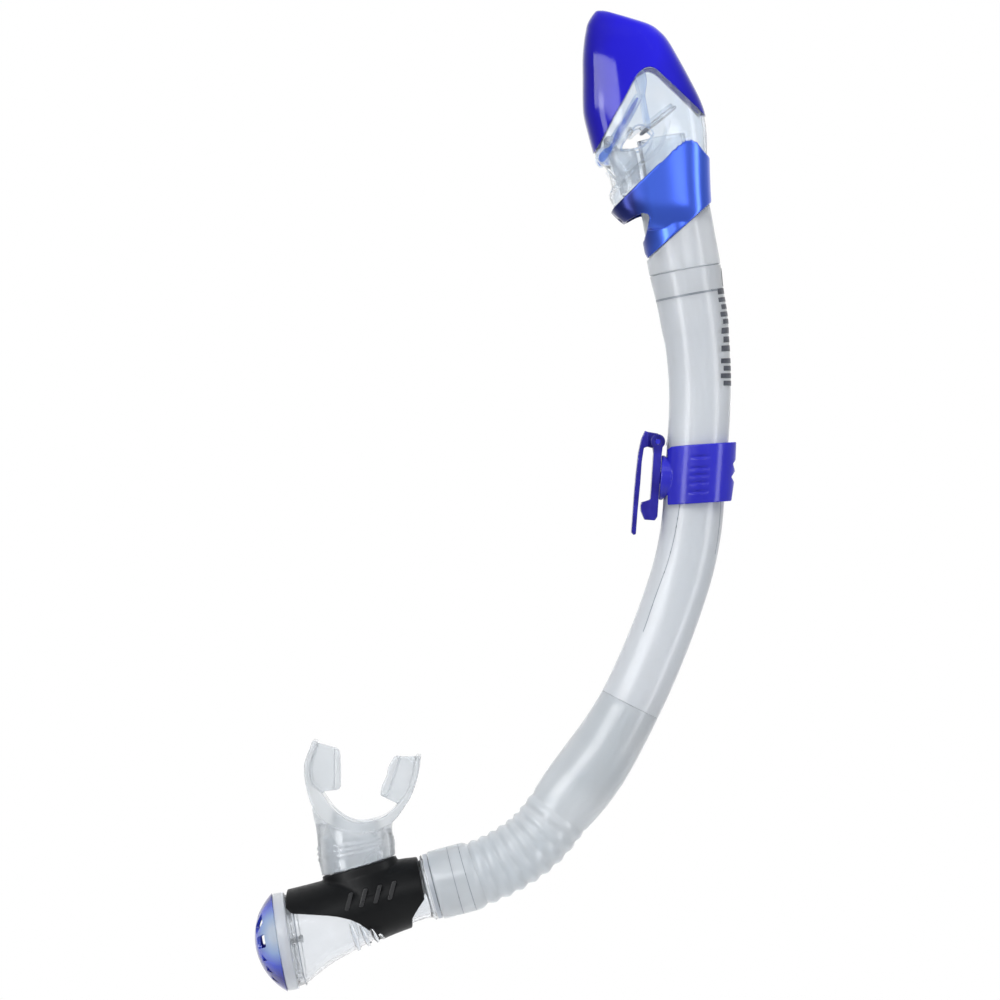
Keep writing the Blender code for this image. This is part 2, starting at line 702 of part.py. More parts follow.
# top point, bottom point and half depth of the housing under the grip cover
HOUSING_SECTIONS = [
    ((-105.3, -173.03), (-99.23, -198.22), 13.6),
    ((-114.08, -174.38), (-108.23, -200.93), 14.2),
    ((-126.23, -177.75), (-120.6, -206.1), 15.0),
    ((-139.72, -181.58), (-133.88, -213.3), 16.4),
    ((-150.97, -184.72), (-145.35, -220.05), 18.0),
]
# the same for the outside of the grip cover
COVER_SECTIONS = [
    ((-102.38, -170.23), (-94.28, -198.9), 15.5),
    ((-106.42, -171), (-99.67, -200.25), 15.6),
    ((-114.53, -172.12), (-108.23, -202.95), 16.1),
    ((-126.67, -175.5), (-120.6, -207.9), 16.9),
    ((-140.18, -179.33), (-133.88, -215.1), 18.3),
    ((-151.43, -182.47), (-145.12, -221.85), 19.9),
    ((-164.03, -185.62), (-155.93, -229.95), 22.3),
    ((-168.97, -186.53), (-160.88, -233.55), 23.0),
]
STEM = [((-131.85, -183.15), -10.0), ((-133.78, -162.45), -6.0)]


def end_ring(radius, a, steps=SEGMENTS):
    """A ring about the purge axis, lined up with the rings made by between."""
    return oval(PURGE(0.0, a), 90.0 - PURGE_LEAN, radius, radius, steps)


def spigot_ring(radius, s):
    centre, lean = pipe_at(s)
    return oval(centre, lean, radius, radius, SEGMENTS)


def housing_rings(inset):
    rings = [spigot_ring(13.6 - inset, SPIGOT_START), spigot_ring(13.6 - inset, HOSE_END + 2.6)]
    rings.append(spigot_ring(15.0 - inset, HOSE_END + 2.7))
    rings.append(between((-104.4, -170.68), (-97.2, -199.03), 15.0, grow=-inset))
    for top, bottom, ry in HOUSING_SECTIONS:
        rings.append(between(top, bottom, ry, grow=-inset))
    rings.append(end_ring(19.7 - min(inset, 1.4), -9.8))
    rings.append(end_ring(20.9 - min(inset, 1.8), -5.6))
    return rings


def make_housing(parts, cutters, paint):
    housing = new_object("housing", loft(housing_rings(0.0)), parts)
    stem = [oval(centre, lean, 13.0, 8.6) for centre, lean in STEM]
    cut(housing, loft(stem), cutters, "UNION")
    rings = housing_rings(1.8)
    rings = [spigot_ring(11.8, SPIGOT_START - 4.0)] + rings[1:] + [end_ring(19.6, -3.0)]
    cut(housing, loft(rings), cutters)
    bore = [oval((-131.53, -186.75), -10.0, 11.4, 7.0), oval((-134.06, -159.75), -6.0, 11.4, 7.0)]
    cut(housing, loft(bore), cutters)
    housing.data.materials.append(paint)


COVER_OUTLINE = [(-164.34, -189), (-163.58, -183.15), (-114.53, -168.75), (-106.42, -168.75),
                 (-104.4, -177.75), (-101.92, -189), (-104.62, -193.05),
                 (-107.33, -197.78), (-107.78, -206.1), (-121.28, -207.9), (-127.58, -202.5),
                 (-135.22, -198), (-145.12, -196.2), (-161.33, -195.3),
                 (-163.94, -193.05)]


def make_cover(parts, cutters, paint):
    outer = loft([between(top, bottom, ry) for top, bottom, ry in COVER_SECTIONS])
    cover = new_object("grip_cover", outer, parts)
    cut(cover, prism(COVER_OUTLINE, -30.0, 30.0), cutters, "INTERSECT")
    pad = [oval((-129.38, -182.25), -16.0, 17.2, 12.4), oval((-131.62, -175.05), -16.0, 17.2, 12.4)]
    cut(cover, loft(pad), cutters, "UNION")
    rings = [between((-102.15, -172.12), (-94.73, -198.45), 13.6, grow=0.3)]
    rings += [between(top, bottom, ry, grow=0.3) for top, bottom, ry in HOUSING_SECTIONS]
    rings.append(end_ring(21.1, -9.5))
    rings.append(end_ring(21.7, -5.6))
    rings.append(end_ring(22.0, 2.0))
    cut(cover, loft(rings), cutters)
    hole = [oval((-131.53, -186.75), -10.0, 13.4, 9.0), oval((-134.06, -159.75), -6.0, 13.4, 9.0)]
    cut(cover, loft(hole), cutters)
    cover.data.materials.append(paint)


# ---------------------------------------------------------------- purge


def make_purge_ring(parts, paint):
    profile = [(19.6, -0.1), (21.5, -0.1), (PURGE_R, -0.6), (PURGE_R, -5.0), (21.6, -5.3), (19.6, -5.3)]
    ring = new_object("purge_ring", turned(profile, PURGE_CENTRE, -90.0 - PURGE_LEAN, 32), parts)
    ring.data.materials.append(paint)


def make_purge_seat(parts, cutters, paint):
    lean = -90.0 - PURGE_LEAN
    seat = new_object("purge_seat", turned([(15.0, -7.4), (18.3, -7.4), (18.3, -5.8), (15.0, -5.8)],
                                           PURGE_CENTRE, lean), parts)
    hub = turned([(0.0, -7.7), (3.4, -7.7), (3.4, -5.9), (0.0, -5.9)], PURGE_CENTRE, lean, 20)
    cut(seat, hub, cutters, "UNION")
    across = [PURGE(-16.0, -7.2), PURGE(16.0, -7.2), PURGE(16.0, -6.0), PURGE(-16.0, -6.0)]
    cut(seat, prism(across, -1.3, 1.3), cutters, "UNION")
    along = [PURGE(-1.3, -7.1), PURGE(1.3, -7.1), PURGE(1.3, -6.1), PURGE(-1.3, -6.1)]
    cut(seat, prism(along, -16.0, 16.0), cutters, "UNION")
    bore = turned([(0.0, -12.0), (1.6, -12.0), (1.6, -4.0), (0.0, -4.0)], PURGE_CENTRE, lean, 14)
    cut(seat, bore, cutters)
    seat.data.materials.append(paint)


def make_membrane(parts, paint):
    profile = [(0.0, -4.6), (16.6, -4.7), (17.2, -5.1), (17.0, -5.5), (1.2, -5.5), (1.2, -9.1), (2.1, -9.2),
               (1.4, -10.8), (0.0, -10.8)]
    disc = new_object("purge_membrane", turned(profile, PURGE_CENTRE, -90.0 - PURGE_LEAN, 24), parts)
    disc.data.materials.append(paint)


def dome(radius, rise, base, steps):
    """Profile points of a spherical cap from its rim to its top."""
    ball = (radius * radius + rise * rise) / (2.0 * rise)
    points = []
    for i in range(steps + 1):
        angle = math.asin(radius / ball) * (1.0 - i / steps)
        points.append((ball * math.sin(angle), base + ball * math.cos(angle) - (ball - rise)))
    return points


def make_purge_cover(parts, cutters, paint):
    outer = dome(22.3, 10.9, 0.2, 6)
    inner = dome(20.4, 9.5, 0.2, 6)
    profile = outer[::-1] + [(19.3, 0.2), (19.3, -2.5), (17.8, -2.5), (17.8, 0.9)] + inner[2:]
    lean = -90.0 - PURGE_LEAN
    cover = new_object("purge_cover", turned(profile, PURGE_CENTRE, lean, 32), parts)
    for i in range(6):
        box = [(-2.6, 8.5), (2.6, 8.5), (2.6, 17.0), (-2.6, 17.0)]
        block = bmesh.new()
        turn = Matrix.Rotation(math.radians(60.0 * i), 4, "Z")
        base = [block.verts.new(turn @ Vector((x * MM, y * MM, 2.0 * MM))) for x, y in box]
        top = [block.verts.new(turn @ Vector((x * MM, y * MM, 16.0 * MM))) for x, y in box]
        block.faces.new(base[::-1])
        block.faces.new(top)
        for k in range(4):
            block.faces.new((base[k], base[(k + 1) % 4], top[(k + 1) % 4], top[k]))
        mesh = bpy.data.meshes.new("window")
        block.to_mesh(mesh)
        block.free()
        mesh.transform(
            Matrix.Translation((PURGE_CENTRE[0] * MM, 0.0, PURGE_CENTRE[1] * MM))
            @ Matrix.Rotation(math.radians(lean), 4, "Y")
        )
        cut(cover, mesh, cutters)
    cover.data.materials.append(paint)


# ---------------------------------------------------------------- mouthpiece

NECK = [
    ((-131.72, -174.65), -16.0, 17.2, 12.4),
    ((-132.53, -169.65), -12.5, 17.5, 12.6),
    ((-133.2, -164.25), -9.0, 17.1, 12.2),
    ((-133.65, -157.05), -5.0, 17.3, 11.8),
    ((-132.75, -152.1), -3.0, 19.4, 11.6),
    ((-132.3, -148.05), -2.0, 20.6, 11.4),
]
FLANGE = [(-152.15, -117.99), (-155.56, -127.35), (-155.93, -131.85), (-155.25, -138.15), (-152.78, -146.7),
          (-148.28, -153.45), (-140.18, -157.95),
          (-132.08, -159.3), (-123.53, -158.4), (-115.88, -154.35), (-110.48, -147.15), (-107.78, -142.65),
          (-104.94, -134.1), (-103.64, -124.92),
          (-105.98, -124.92), (-107.33, -133.65), (-110.03, -141.75), (-114.53, -147.15),
          (-119.48, -151.65), (-125.33, -153.9), (-132.08, -154.62),
          (-137.93, -152.55), (-143.33, -148.05), (-147.83, -141.75), (-152.55, -137.7), (-153.45, -131.85),
          (-153, -127.8), (-149.81, -118.67)]
MOUTH = [(-149.18, -142.65), (-144.22, -149.4), (-138.38, -153.9), (-132.08, -156.15), (-124.88, -155.47),
         (-118.58, -153), (-113.17, -148.05),
         (-104.17, -138.6), (-104.17, -113.85), (-158.18, -113.85), (-158.18, -136.35)]
TAB_LEFT = [(-151.2, -119.25), (-141.53, -121.73), (-140.49, -123.3), (-140.09, -131.85),
            (-140.09, -139.68), (-142.88, -140.94),
            (-148.28, -141.39), (-153.22, -140.4), (-154.58, -134.1), (-154.35, -127.35)]
TAB_RIGHT = [(-115.2, -125.64), (-104.99, -125.64), (-106.2, -134.1), (-109.12, -142.65),
             (-113.17, -147.38), (-121.77, -143.37),
             (-120.87, -138.73), (-118.66, -134.19), (-118.22, -130.91)]
LUG_LEFT = [(-142.43, -121.23), (-140.09, -123.03), (-139.72, -131.85), (-139.72, -139.95), (-142.6, -141.3)]
LUG_RIGHT = [(-115.6, -125.28), (-112.95, -125.19), (-116.33, -135), (-118.58, -142.65), (-122.17, -143.73),
             (-121.28, -138.6), (-119.03, -134.1),
             (-118.58, -130.72)]


def make_mouthpiece(parts, cutters, paint):
    neck = loft([oval(centre, lean, rx, ry) for centre, lean, rx, ry in NECK])
    piece = new_object("mouthpiece", neck, parts)
    cut(piece, prism(MOUTH, -20.0, 20.0), cutters)
    cut(piece, prism(FLANGE, -12.5, 12.5), cutters, "UNION")
    cut(piece, prism(TAB_LEFT, -2.0, 2.0), cutters, "UNION")
    cut(piece, prism(TAB_RIGHT, -2.0, 2.0), cutters, "UNION")
    cut(piece, prism(LUG_LEFT, -4.6, 4.6), cutters, "UNION")
    cut(piece, prism(LUG_RIGHT, -4.6, 4.6), cutters, "UNION")
    bore = [oval((-131.51, -186.75), -10.0, 13.35, 8.95), oval((-133.92, -161.1), -6.0, 13.35, 8.95),
            oval((-134.01, -159.75), -5.0, 11.6, 7.4), oval((-132.53, -145.35), -2.0, 11.2, 6.4)]
    cut(piece, loft(bore), cutters)
    piece.data.materials.append(paint)


# ---------------------------------------------------------------- assembly


def shade(parts):
    for thing in parts.objects:
        thing.data.shade_smooth()
        thing.data.set_sharp_from_angle(angle=math.radians(32.0))


def main():
    clear_scene()
    parts = collection("snorkel")
    cutters = collection("cutters")
    royal = material("hood_blue", (0.02, 0.015, 0.5), 0.16)
    metallic = material("collar_blue", (0.06, 0.14, 0.75), 0.22, 0.55)
    tint = material("clear_blue", (0.72, 0.82, 0.95), 0.06, 0.0, 0.9)
    clear = material("clear_plastic", (0.88, 0.9, 0.92), 0.06, 0.0, 0.9)
    silicone = material("clear_silicone", (0.8, 0.83, 0.85), 0.25, 0.0, 0.7)
    clip_blue = material("clip_blue", (0.05, 0.05, 0.55), 0.2, 0.0, 0.3)
    cover_blue = material("cover_blue", (0.1, 0.16, 0.6), 0.2, 0.0, 0.4)
    black = material("black_rubber", (0.015, 0.016, 0.018), 0.45)
    grey = material("grey_plastic", (0.4, 0.42, 0.44), 0.4)
    white = material("white_silicone", (0.75, 0.77, 0.78), 0.4)
    steel = material("pin_steel", (0.6, 0.6, 0.62), 0.25, 1.0)
    make_hood(parts, cutters, royal)
    make_chamber(parts, cutters, tint)
    make_collar(parts, cutters, metallic)
    make_connector(parts, cutters, clear)
    make_o_ring(parts, black)
    make_lever(parts, cutters, grey)
    make_seal(parts, white)
    make_lever_pin(parts, steel)
    make_float(parts, cutters, grey)
    make_float_pin(parts, steel)
    make_tube(parts, cutters, clear)
    make_keeper(parts, cutters, clip_blue)
    make_plate(parts, cutters, clip_blue)
    make_gate(parts, cutters, clip_blue)
    make_gate_pin(parts, clip_blue)
    make_hose(parts, silicone)
    make_gasket(parts, black)
    make_housing(parts, cutters, clear)
    make_cover(parts, cutters, black)
    make_purge_ring(parts, clear)
    make_purge_seat(parts, cutters, clear)
    make_membrane(parts, white)
    make_purge_cover(parts, cutters, cover_blue)
    make_mouthpiece(parts, cutters, silicone)
    shade(parts)


main()
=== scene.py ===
"""Looks of the dry-top snorkel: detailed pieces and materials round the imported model.

Frame: metres, X from the mouthpiece side to the tube side, Y across the snorkel's plane of symmetry, Z up,
with the origin on the strap clip.  Shapes are given in millimetres, and outlines lie in the XZ plane.
"""
import math

import bmesh
import bpy
import numpy as np
from mathutils import Matrix, Vector


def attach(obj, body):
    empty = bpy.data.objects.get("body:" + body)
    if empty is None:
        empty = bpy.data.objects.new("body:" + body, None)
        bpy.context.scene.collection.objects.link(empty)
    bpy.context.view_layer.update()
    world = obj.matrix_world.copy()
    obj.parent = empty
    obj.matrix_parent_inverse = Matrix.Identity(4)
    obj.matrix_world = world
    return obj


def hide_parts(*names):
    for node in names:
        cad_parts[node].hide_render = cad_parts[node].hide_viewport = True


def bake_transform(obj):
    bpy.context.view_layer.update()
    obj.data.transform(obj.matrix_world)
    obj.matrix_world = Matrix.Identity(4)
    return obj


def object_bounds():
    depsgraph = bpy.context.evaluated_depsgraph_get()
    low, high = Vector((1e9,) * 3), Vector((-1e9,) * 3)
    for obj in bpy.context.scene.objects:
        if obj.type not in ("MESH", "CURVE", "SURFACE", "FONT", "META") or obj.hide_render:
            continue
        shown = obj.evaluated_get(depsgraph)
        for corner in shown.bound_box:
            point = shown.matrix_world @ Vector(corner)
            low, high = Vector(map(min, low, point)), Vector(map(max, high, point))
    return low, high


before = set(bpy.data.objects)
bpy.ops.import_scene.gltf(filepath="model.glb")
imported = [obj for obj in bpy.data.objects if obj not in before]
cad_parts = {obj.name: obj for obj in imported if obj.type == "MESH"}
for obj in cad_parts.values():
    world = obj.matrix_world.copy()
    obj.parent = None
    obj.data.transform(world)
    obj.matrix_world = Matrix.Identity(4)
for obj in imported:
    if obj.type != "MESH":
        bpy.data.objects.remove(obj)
CAD_BOX = [list(corner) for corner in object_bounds()]

MM = 0.001

# Breathing pipe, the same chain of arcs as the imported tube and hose
SEAM = (15.14, 92.93)
TOP_LEAN = -10.4
PIPE_PATH = [
    (17.0, 0.0), (54.0, 14.3), (36.0, 0.0), (35.0, 13.6), (50.0, 7.5), (51.0, 12.3), (24.0, 0.0), (14.0, 16.0),
    (32.0, 22.0), (12.5, 0.0),
]
TUBE_LENGTH = 243.0
CUFF_TOP = 203.2
RIB_START = 259.3
RIB_END = 305.7
HOSE_END = 325.5
SPIGOT_START = 316.2
RIBS = 8

SEAT_UP = 60.8
CLIP_LEAN = 3.9
CLIP_UP = 92.6
KNUCKLE = (2.7, 15.89)
KNUCKLE_R = 3.3
PIN_BORE = 1.3
PURGE_CENTRE = (-167.18, -209.38)
PURGE_LEAN = 9.5
FLOOR_DROP = 0.050  # metres, so that the hose can bend down without reaching the floor
THROUGH = (-30.0, 30.0)  # depths of a cut through the whole snorkel
SIDES = {"front": -1.0, "back": 1.0}


# ---------------------------------------------------------------- geometry helpers


def frame_of(origin, lean):
    """Maps (across, up) of a frame whose up leans by some degrees to (x, z)."""
    turn = math.radians(lean)

    def place(across, up):
        return (origin[0] + across * math.cos(turn) + up * math.sin(turn),
                origin[1] - across * math.sin(turn) + up * math.cos(turn))

    return place


def walk(start, lean, path, distance):
    """The (x, z) point and the lean a distance along a chain of arcs that runs downward."""
    x, z = start
    left = distance
    for length, turn in path:
        part = min(left, length)
        if part <= 0.0:
            break
        steps = 12
        for i in range(steps):
            middle = math.radians(lean + turn * (part / length) * (i + 0.5) / steps)
            x -= math.sin(middle) * part / steps
            z -= math.cos(middle) * part / steps
        lean += turn * part / length
        left -= part
    if left > 0.0:
        x -= math.sin(math.radians(lean)) * left
        z -= math.cos(math.radians(lean)) * left
    return (x, z), lean


def pipe_at(distance):
    return walk(SEAM, TOP_LEAN, PIPE_PATH, distance)


def spigot_ring(radius, s, steps=96):
    """A round ring of the breathing pipe, a distance down it."""
    centre, lean = pipe_at(s)
    return oval(centre, lean, radius, radius, steps)


def end_ring(radius, a, steps=96):
    """A round ring of the purge end, a distance out along its axis."""
    return oval(PURGE(0.0, a), 90.0 - PURGE_LEAN, radius, radius, steps)


TOP = frame_of(SEAM, TOP_LEAN)
CLIP = frame_of((0.0, 0.0), CLIP_LEAN)
PURGE = frame_of(PURGE_CENTRE, -90.0 - PURGE_LEAN)


def curve_through(points, per=8, closed=False):
    """A Catmull-Rom curve through points of any dimension."""
    p = [np.array(q, float) for q in points]
    n = len(p)
    made = []
    spans = n if closed else n - 1
    for i in range(spans):
        if closed:
            a, b, c, d = p[(i - 1) % n], p[i], p[(i + 1) % n], p[(i + 2) % n]
        else:
            b, c = p[i], p[i + 1]
            a = p[i - 1] if i > 0 else 2 * b - c
            d = p[i + 2] if i + 2 < n else 2 * c - b
        for k in range(per):
            t = k / per
            made.append(0.5 * (2 * b + (c - a) * t + (2 * a - 5 * b + 4 * c - d) * t * t
                               + (3 * b - a - 3 * c + d) * t ** 3))
    if not closed:
        made.append(p[-1])
    return [tuple(q) for q in made]


def rounded(points, radius, steps=5):
    """A closed outline with every corner rounded by an arc-like curve of about that radius."""
    p = [np.array(q, float) for q in points]
    n = len(p)
    made = []
    for i in range(n):
        before, corner, after = p[i - 1], p[i], p[(i + 1) % n]
        u = before - corner
        v = after - corner
        reach_u = min(radius, np.linalg.norm(u) * 0.45)
        reach_v = min(radius, np.linalg.norm(v) * 0.45)
        a = corner + u / np.linalg.norm(u) * reach_u
        b = corner + v / np.linalg.norm(v) * reach_v
        for k in range(steps + 1):
            t = k / steps
            made.append(tuple((1 - t) ** 2 * a + 2 * t * (1 - t) * corner + t * t * b))
    return made


def mesh_of(points, faces):
    mesh = bpy.data.meshes.new("piece")
    mesh.from_pydata([tuple(q) for q in points], [], faces)
    shape = bmesh.new()
    shape.from_mesh(mesh)
    bmesh.ops.remove_doubles(shape, verts=shape.verts, dist=1e-7)
    bmesh.ops.recalc_face_normals(shape, faces=shape.faces)
    shape.to_mesh(mesh)
    shape.free()
    return mesh


def loft(rings, closed=False, caps=True):
    """A mesh through rings of equal point counts, in millimetres."""
    rows = np.array(rings, float) * MM
    count = rows.shape[1]
    total = rows.shape[0]
    points = rows.reshape(-1, 3)
    faces = []
    last = total if closed else total - 1
    for r in range(last):
        s = (r + 1) % total
        for i in range(count):
            k = (i + 1) % count
            faces.append((r * count + i, r * count + k, s * count + k, s * count + i))
    if not closed and caps:
        faces.append(tuple(range(count))[::-1])
        faces.append(tuple((total - 1) * count + i for i in range(count)))
    return mesh_of(points, faces)


def prism(outline, low, high):
    """An outline in the XZ plane run through from y = low to y = high."""
    return loft([[(x, low, z) for x, z in outline], [(x, high, z) for x, z in outline]])


def side_prism(outline, side, inner, outer):
    """An outline run between two distances from the plane of symmetry, on one side of it."""
    return prism(outline, *sorted((side * inner, side * outer)))


def circle(steps):
    """Cosine and sine at even steps round a circle."""
    angles = [2.0 * math.pi * i / steps for i in range(steps)]
    return [(math.cos(angle), math.sin(angle)) for angle in angles]


def oval(centre, lean, rx, ry, steps=96):
    """A ring square to a leaning axis, with one radius in the plane of symmetry and one across it."""
    turn = math.radians(lean)
    return [(centre[0] + rx * c * math.cos(turn), ry * s, centre[1] - rx * c * math.sin(turn))
            for c, s in circle(steps)]


def tapered(*rows):
    """A solid through ovals given as (centre, lean, radius in the plane, radius across it)."""
    return loft([oval(*row) for row in rows])


def turned(profile, origin, lean, steps=96):
    """A closed (radius, up) profile turned about the up axis of a leaning frame."""
    at = frame_of(origin, lean)
    rings = [oval(at(0.0, up), lean, max(radius, 1e-5), max(radius, 1e-5), steps) for radius, up in profile]
    return loft(rings, closed=True)


def rod(radius, centre, low, high, steps=40):
    return prism([(centre[0] + radius * c, centre[1] + radius * s) for c, s in circle(steps)], low, high)


def between(top, bottom, ry, grow=0.0, steps=96):
    """A ring whose in-plane diameter joins two (x, z) points."""
    centre = ((top[0] + bottom[0]) / 2.0, (top[1] + bottom[1]) / 2.0)
    dx = bottom[0] - top[0]
    dz = bottom[1] - top[1]
    lean = math.degrees(math.atan2(dz, dx))
    return oval(centre, -lean, math.hypot(dx, dz) / 2.0 + grow, ry + grow, steps)


def loose(data, name="work"):
    """A new object in the scene."""
    thing = bpy.data.objects.new(name, data)
    bpy.context.scene.collection.objects.link(thing)
    return thing


def settled(thing):
    """The mesh of an object with its modifiers applied; the object is removed."""
    bpy.context.view_layer.update()
    graph = bpy.context.evaluated_depsgraph_get()
    mesh = bpy.data.meshes.new_from_object(thing.evaluated_get(graph), depsgraph=graph)
    bpy.data.objects.remove(thing, do_unlink=True)
    return mesh


def combined(base, tool, operation):
    thing = loose(base)
    cutter = loose(tool, "cutter")
    step = thing.modifiers.new("bool", "BOOLEAN")
    step.operation = operation
    step.solver = "EXACT"
    step.object = cutter
    mesh = settled(thing)
    bpy.data.objects.remove(cutter, do_unlink=True)
    return mesh


def joined(base, *tools):
    for tool in tools:
        base = combined(base, tool, "UNION")
    return base


def carved(base, *tools):
    for tool in tools:
        base = combined(base, tool, "DIFFERENCE")
    return base


def melted(mesh, voxel, passes=6, factor=0.5):
    """The same form with soft moulded edges, from an even remesh and a light smoothing."""
    thing = loose(mesh)
    step = thing.modifiers.new("remesh", "REMESH")
    step.mode = "VOXEL"
    step.voxel_size = voxel * MM
    relax = thing.modifiers.new("smooth", "SMOOTH")
    relax.iterations = passes
    relax.factor = factor
    return settled(thing)


def piece(name, mesh, body, paint, replaces=(), sharp=None):
    """A finished piece on a body; sharp is the angle in degrees past which an edge stays sharp."""
    mesh.materials.clear()
    mesh.name = name
    thing = loose(mesh, name)
    mesh.materials.append(PAINT[paint])
    mesh.shade_smooth()
    if sharp is not None:
        mesh.set_sharp_from_angle(angle=math.radians(sharp))
    if body is not None:
        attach(thing, body)
    if replaces:
        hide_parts(*replaces)
    return thing


# ---------------------------------------------------------------- materials

EVEN = (1.0, 1.0, 1.0)
FADE_NOISE = 0.12  # share of a fade that its noise moves


def add_node(tree, kind, inputs, **settings):
    """A new node; an input given as a socket is linked, and anything else is its value."""
    node = tree.nodes.new("ShaderNode" + kind)
    for key, value in settings.items():
        setattr(node, key, value)
    for key, value in inputs.items():
        if isinstance(value, bpy.types.NodeSocket):
            tree.links.new(value, node.inputs[key])
        else:
            node.inputs[key].default_value = value
    return node


def add_ramp(tree, source, stops, smooth="LINEAR"):
    """A colour ramp over a value from 0 to 1."""
    node = add_node(tree, "ValToRGB", {"Fac": source})
    ramp = node.color_ramp
    while len(ramp.elements) < len(stops):
        ramp.elements.new(0.5)
    for element, (position, colour) in zip(ramp.elements, stops):
        element.position = position
        element.color = (*colour, 1.0)
    ramp.interpolation = smooth
    return node.outputs["Color"]


class Paint:
    """A Principled material whose colour, roughness and bump come from procedural nodes."""

    def __init__(self, name, roughness, sockets):
        self.material = bpy.data.materials.new(name)
        self.material.use_nodes = True
        self.tree = self.material.node_tree
        self.inputs = self.tree.nodes["Principled BSDF"].inputs
        self.inputs["Roughness"].default_value = roughness
        for key, value in sockets.items():
            self.inputs[key.replace("_", " ")].default_value = value
        self.place = add_node(self.tree, "TexCoord", {}).outputs["Object"]
        self.height = None

    def link(self, source, name):
        self.tree.links.new(source, self.inputs[name])

    def noise(self, scale, detail, stretch=EVEN):
        spot = add_node(self.tree, "Mapping", {"Scale": stretch, "Vector": self.place}).outputs["Vector"]
        grain = add_node(self.tree, "TexNoise", {"Scale": scale, "Detail": detail, "Vector": spot})
        return grain.outputs["Fac"]

    def colour(self, dark, light, scale, stretch=EVEN):
        spread = self.noise(scale, 2.0, stretch)
        self.link(add_ramp(self.tree, spread, [(0.3, dark), (0.7, light)]), "Base Color")

    def fade(self, axis, start, end, stops, operation="DOT_PRODUCT"):
        """Colour that changes along an axis, or away from a point, between two reaches in metres."""
        reach = add_node(self.tree, "VectorMath", {0: self.place, 1: axis}, operation=operation)
        share = add_node(self.tree, "MapRange", {"From Min": start, "From Max": end,
                                                 "Value": reach.outputs["Value"]})
        spread = add_node(self.tree, "Math", {0: self.noise(70.0, 2.0), 1: FADE_NOISE,
                                              2: share.outputs["Result"]}, operation="MULTIPLY_ADD")
        self.link(add_ramp(self.tree, spread.outputs["Value"], stops), "Base Color")

    def gloss(self, low, high, scale, stretch=EVEN):
        """Roughness that wanders between two values."""
        reach = add_node(self.tree, "MapRange", {"From Min": 0.3, "From Max": 0.7, "To Min": low,
                                                 "To Max": high, "Value": self.noise(scale, 4.0, stretch)})
        self.link(reach.outputs["Result"], "Roughness")

    def bump(self, scale, depth, stretch=EVEN, detail=3.0):
        """Fine relief of a depth in millimetres, on top of what is there already."""
        step = add_node(self.tree, "Bump", {"Strength": 1.0, "Distance": depth * MM,
                                            "Height": self.noise(scale, detail, stretch)})
        if self.height is not None:
            self.tree.links.new(self.height, step.inputs["Normal"])
        self.height = step.outputs["Normal"]
        self.link(self.height, "Normal")


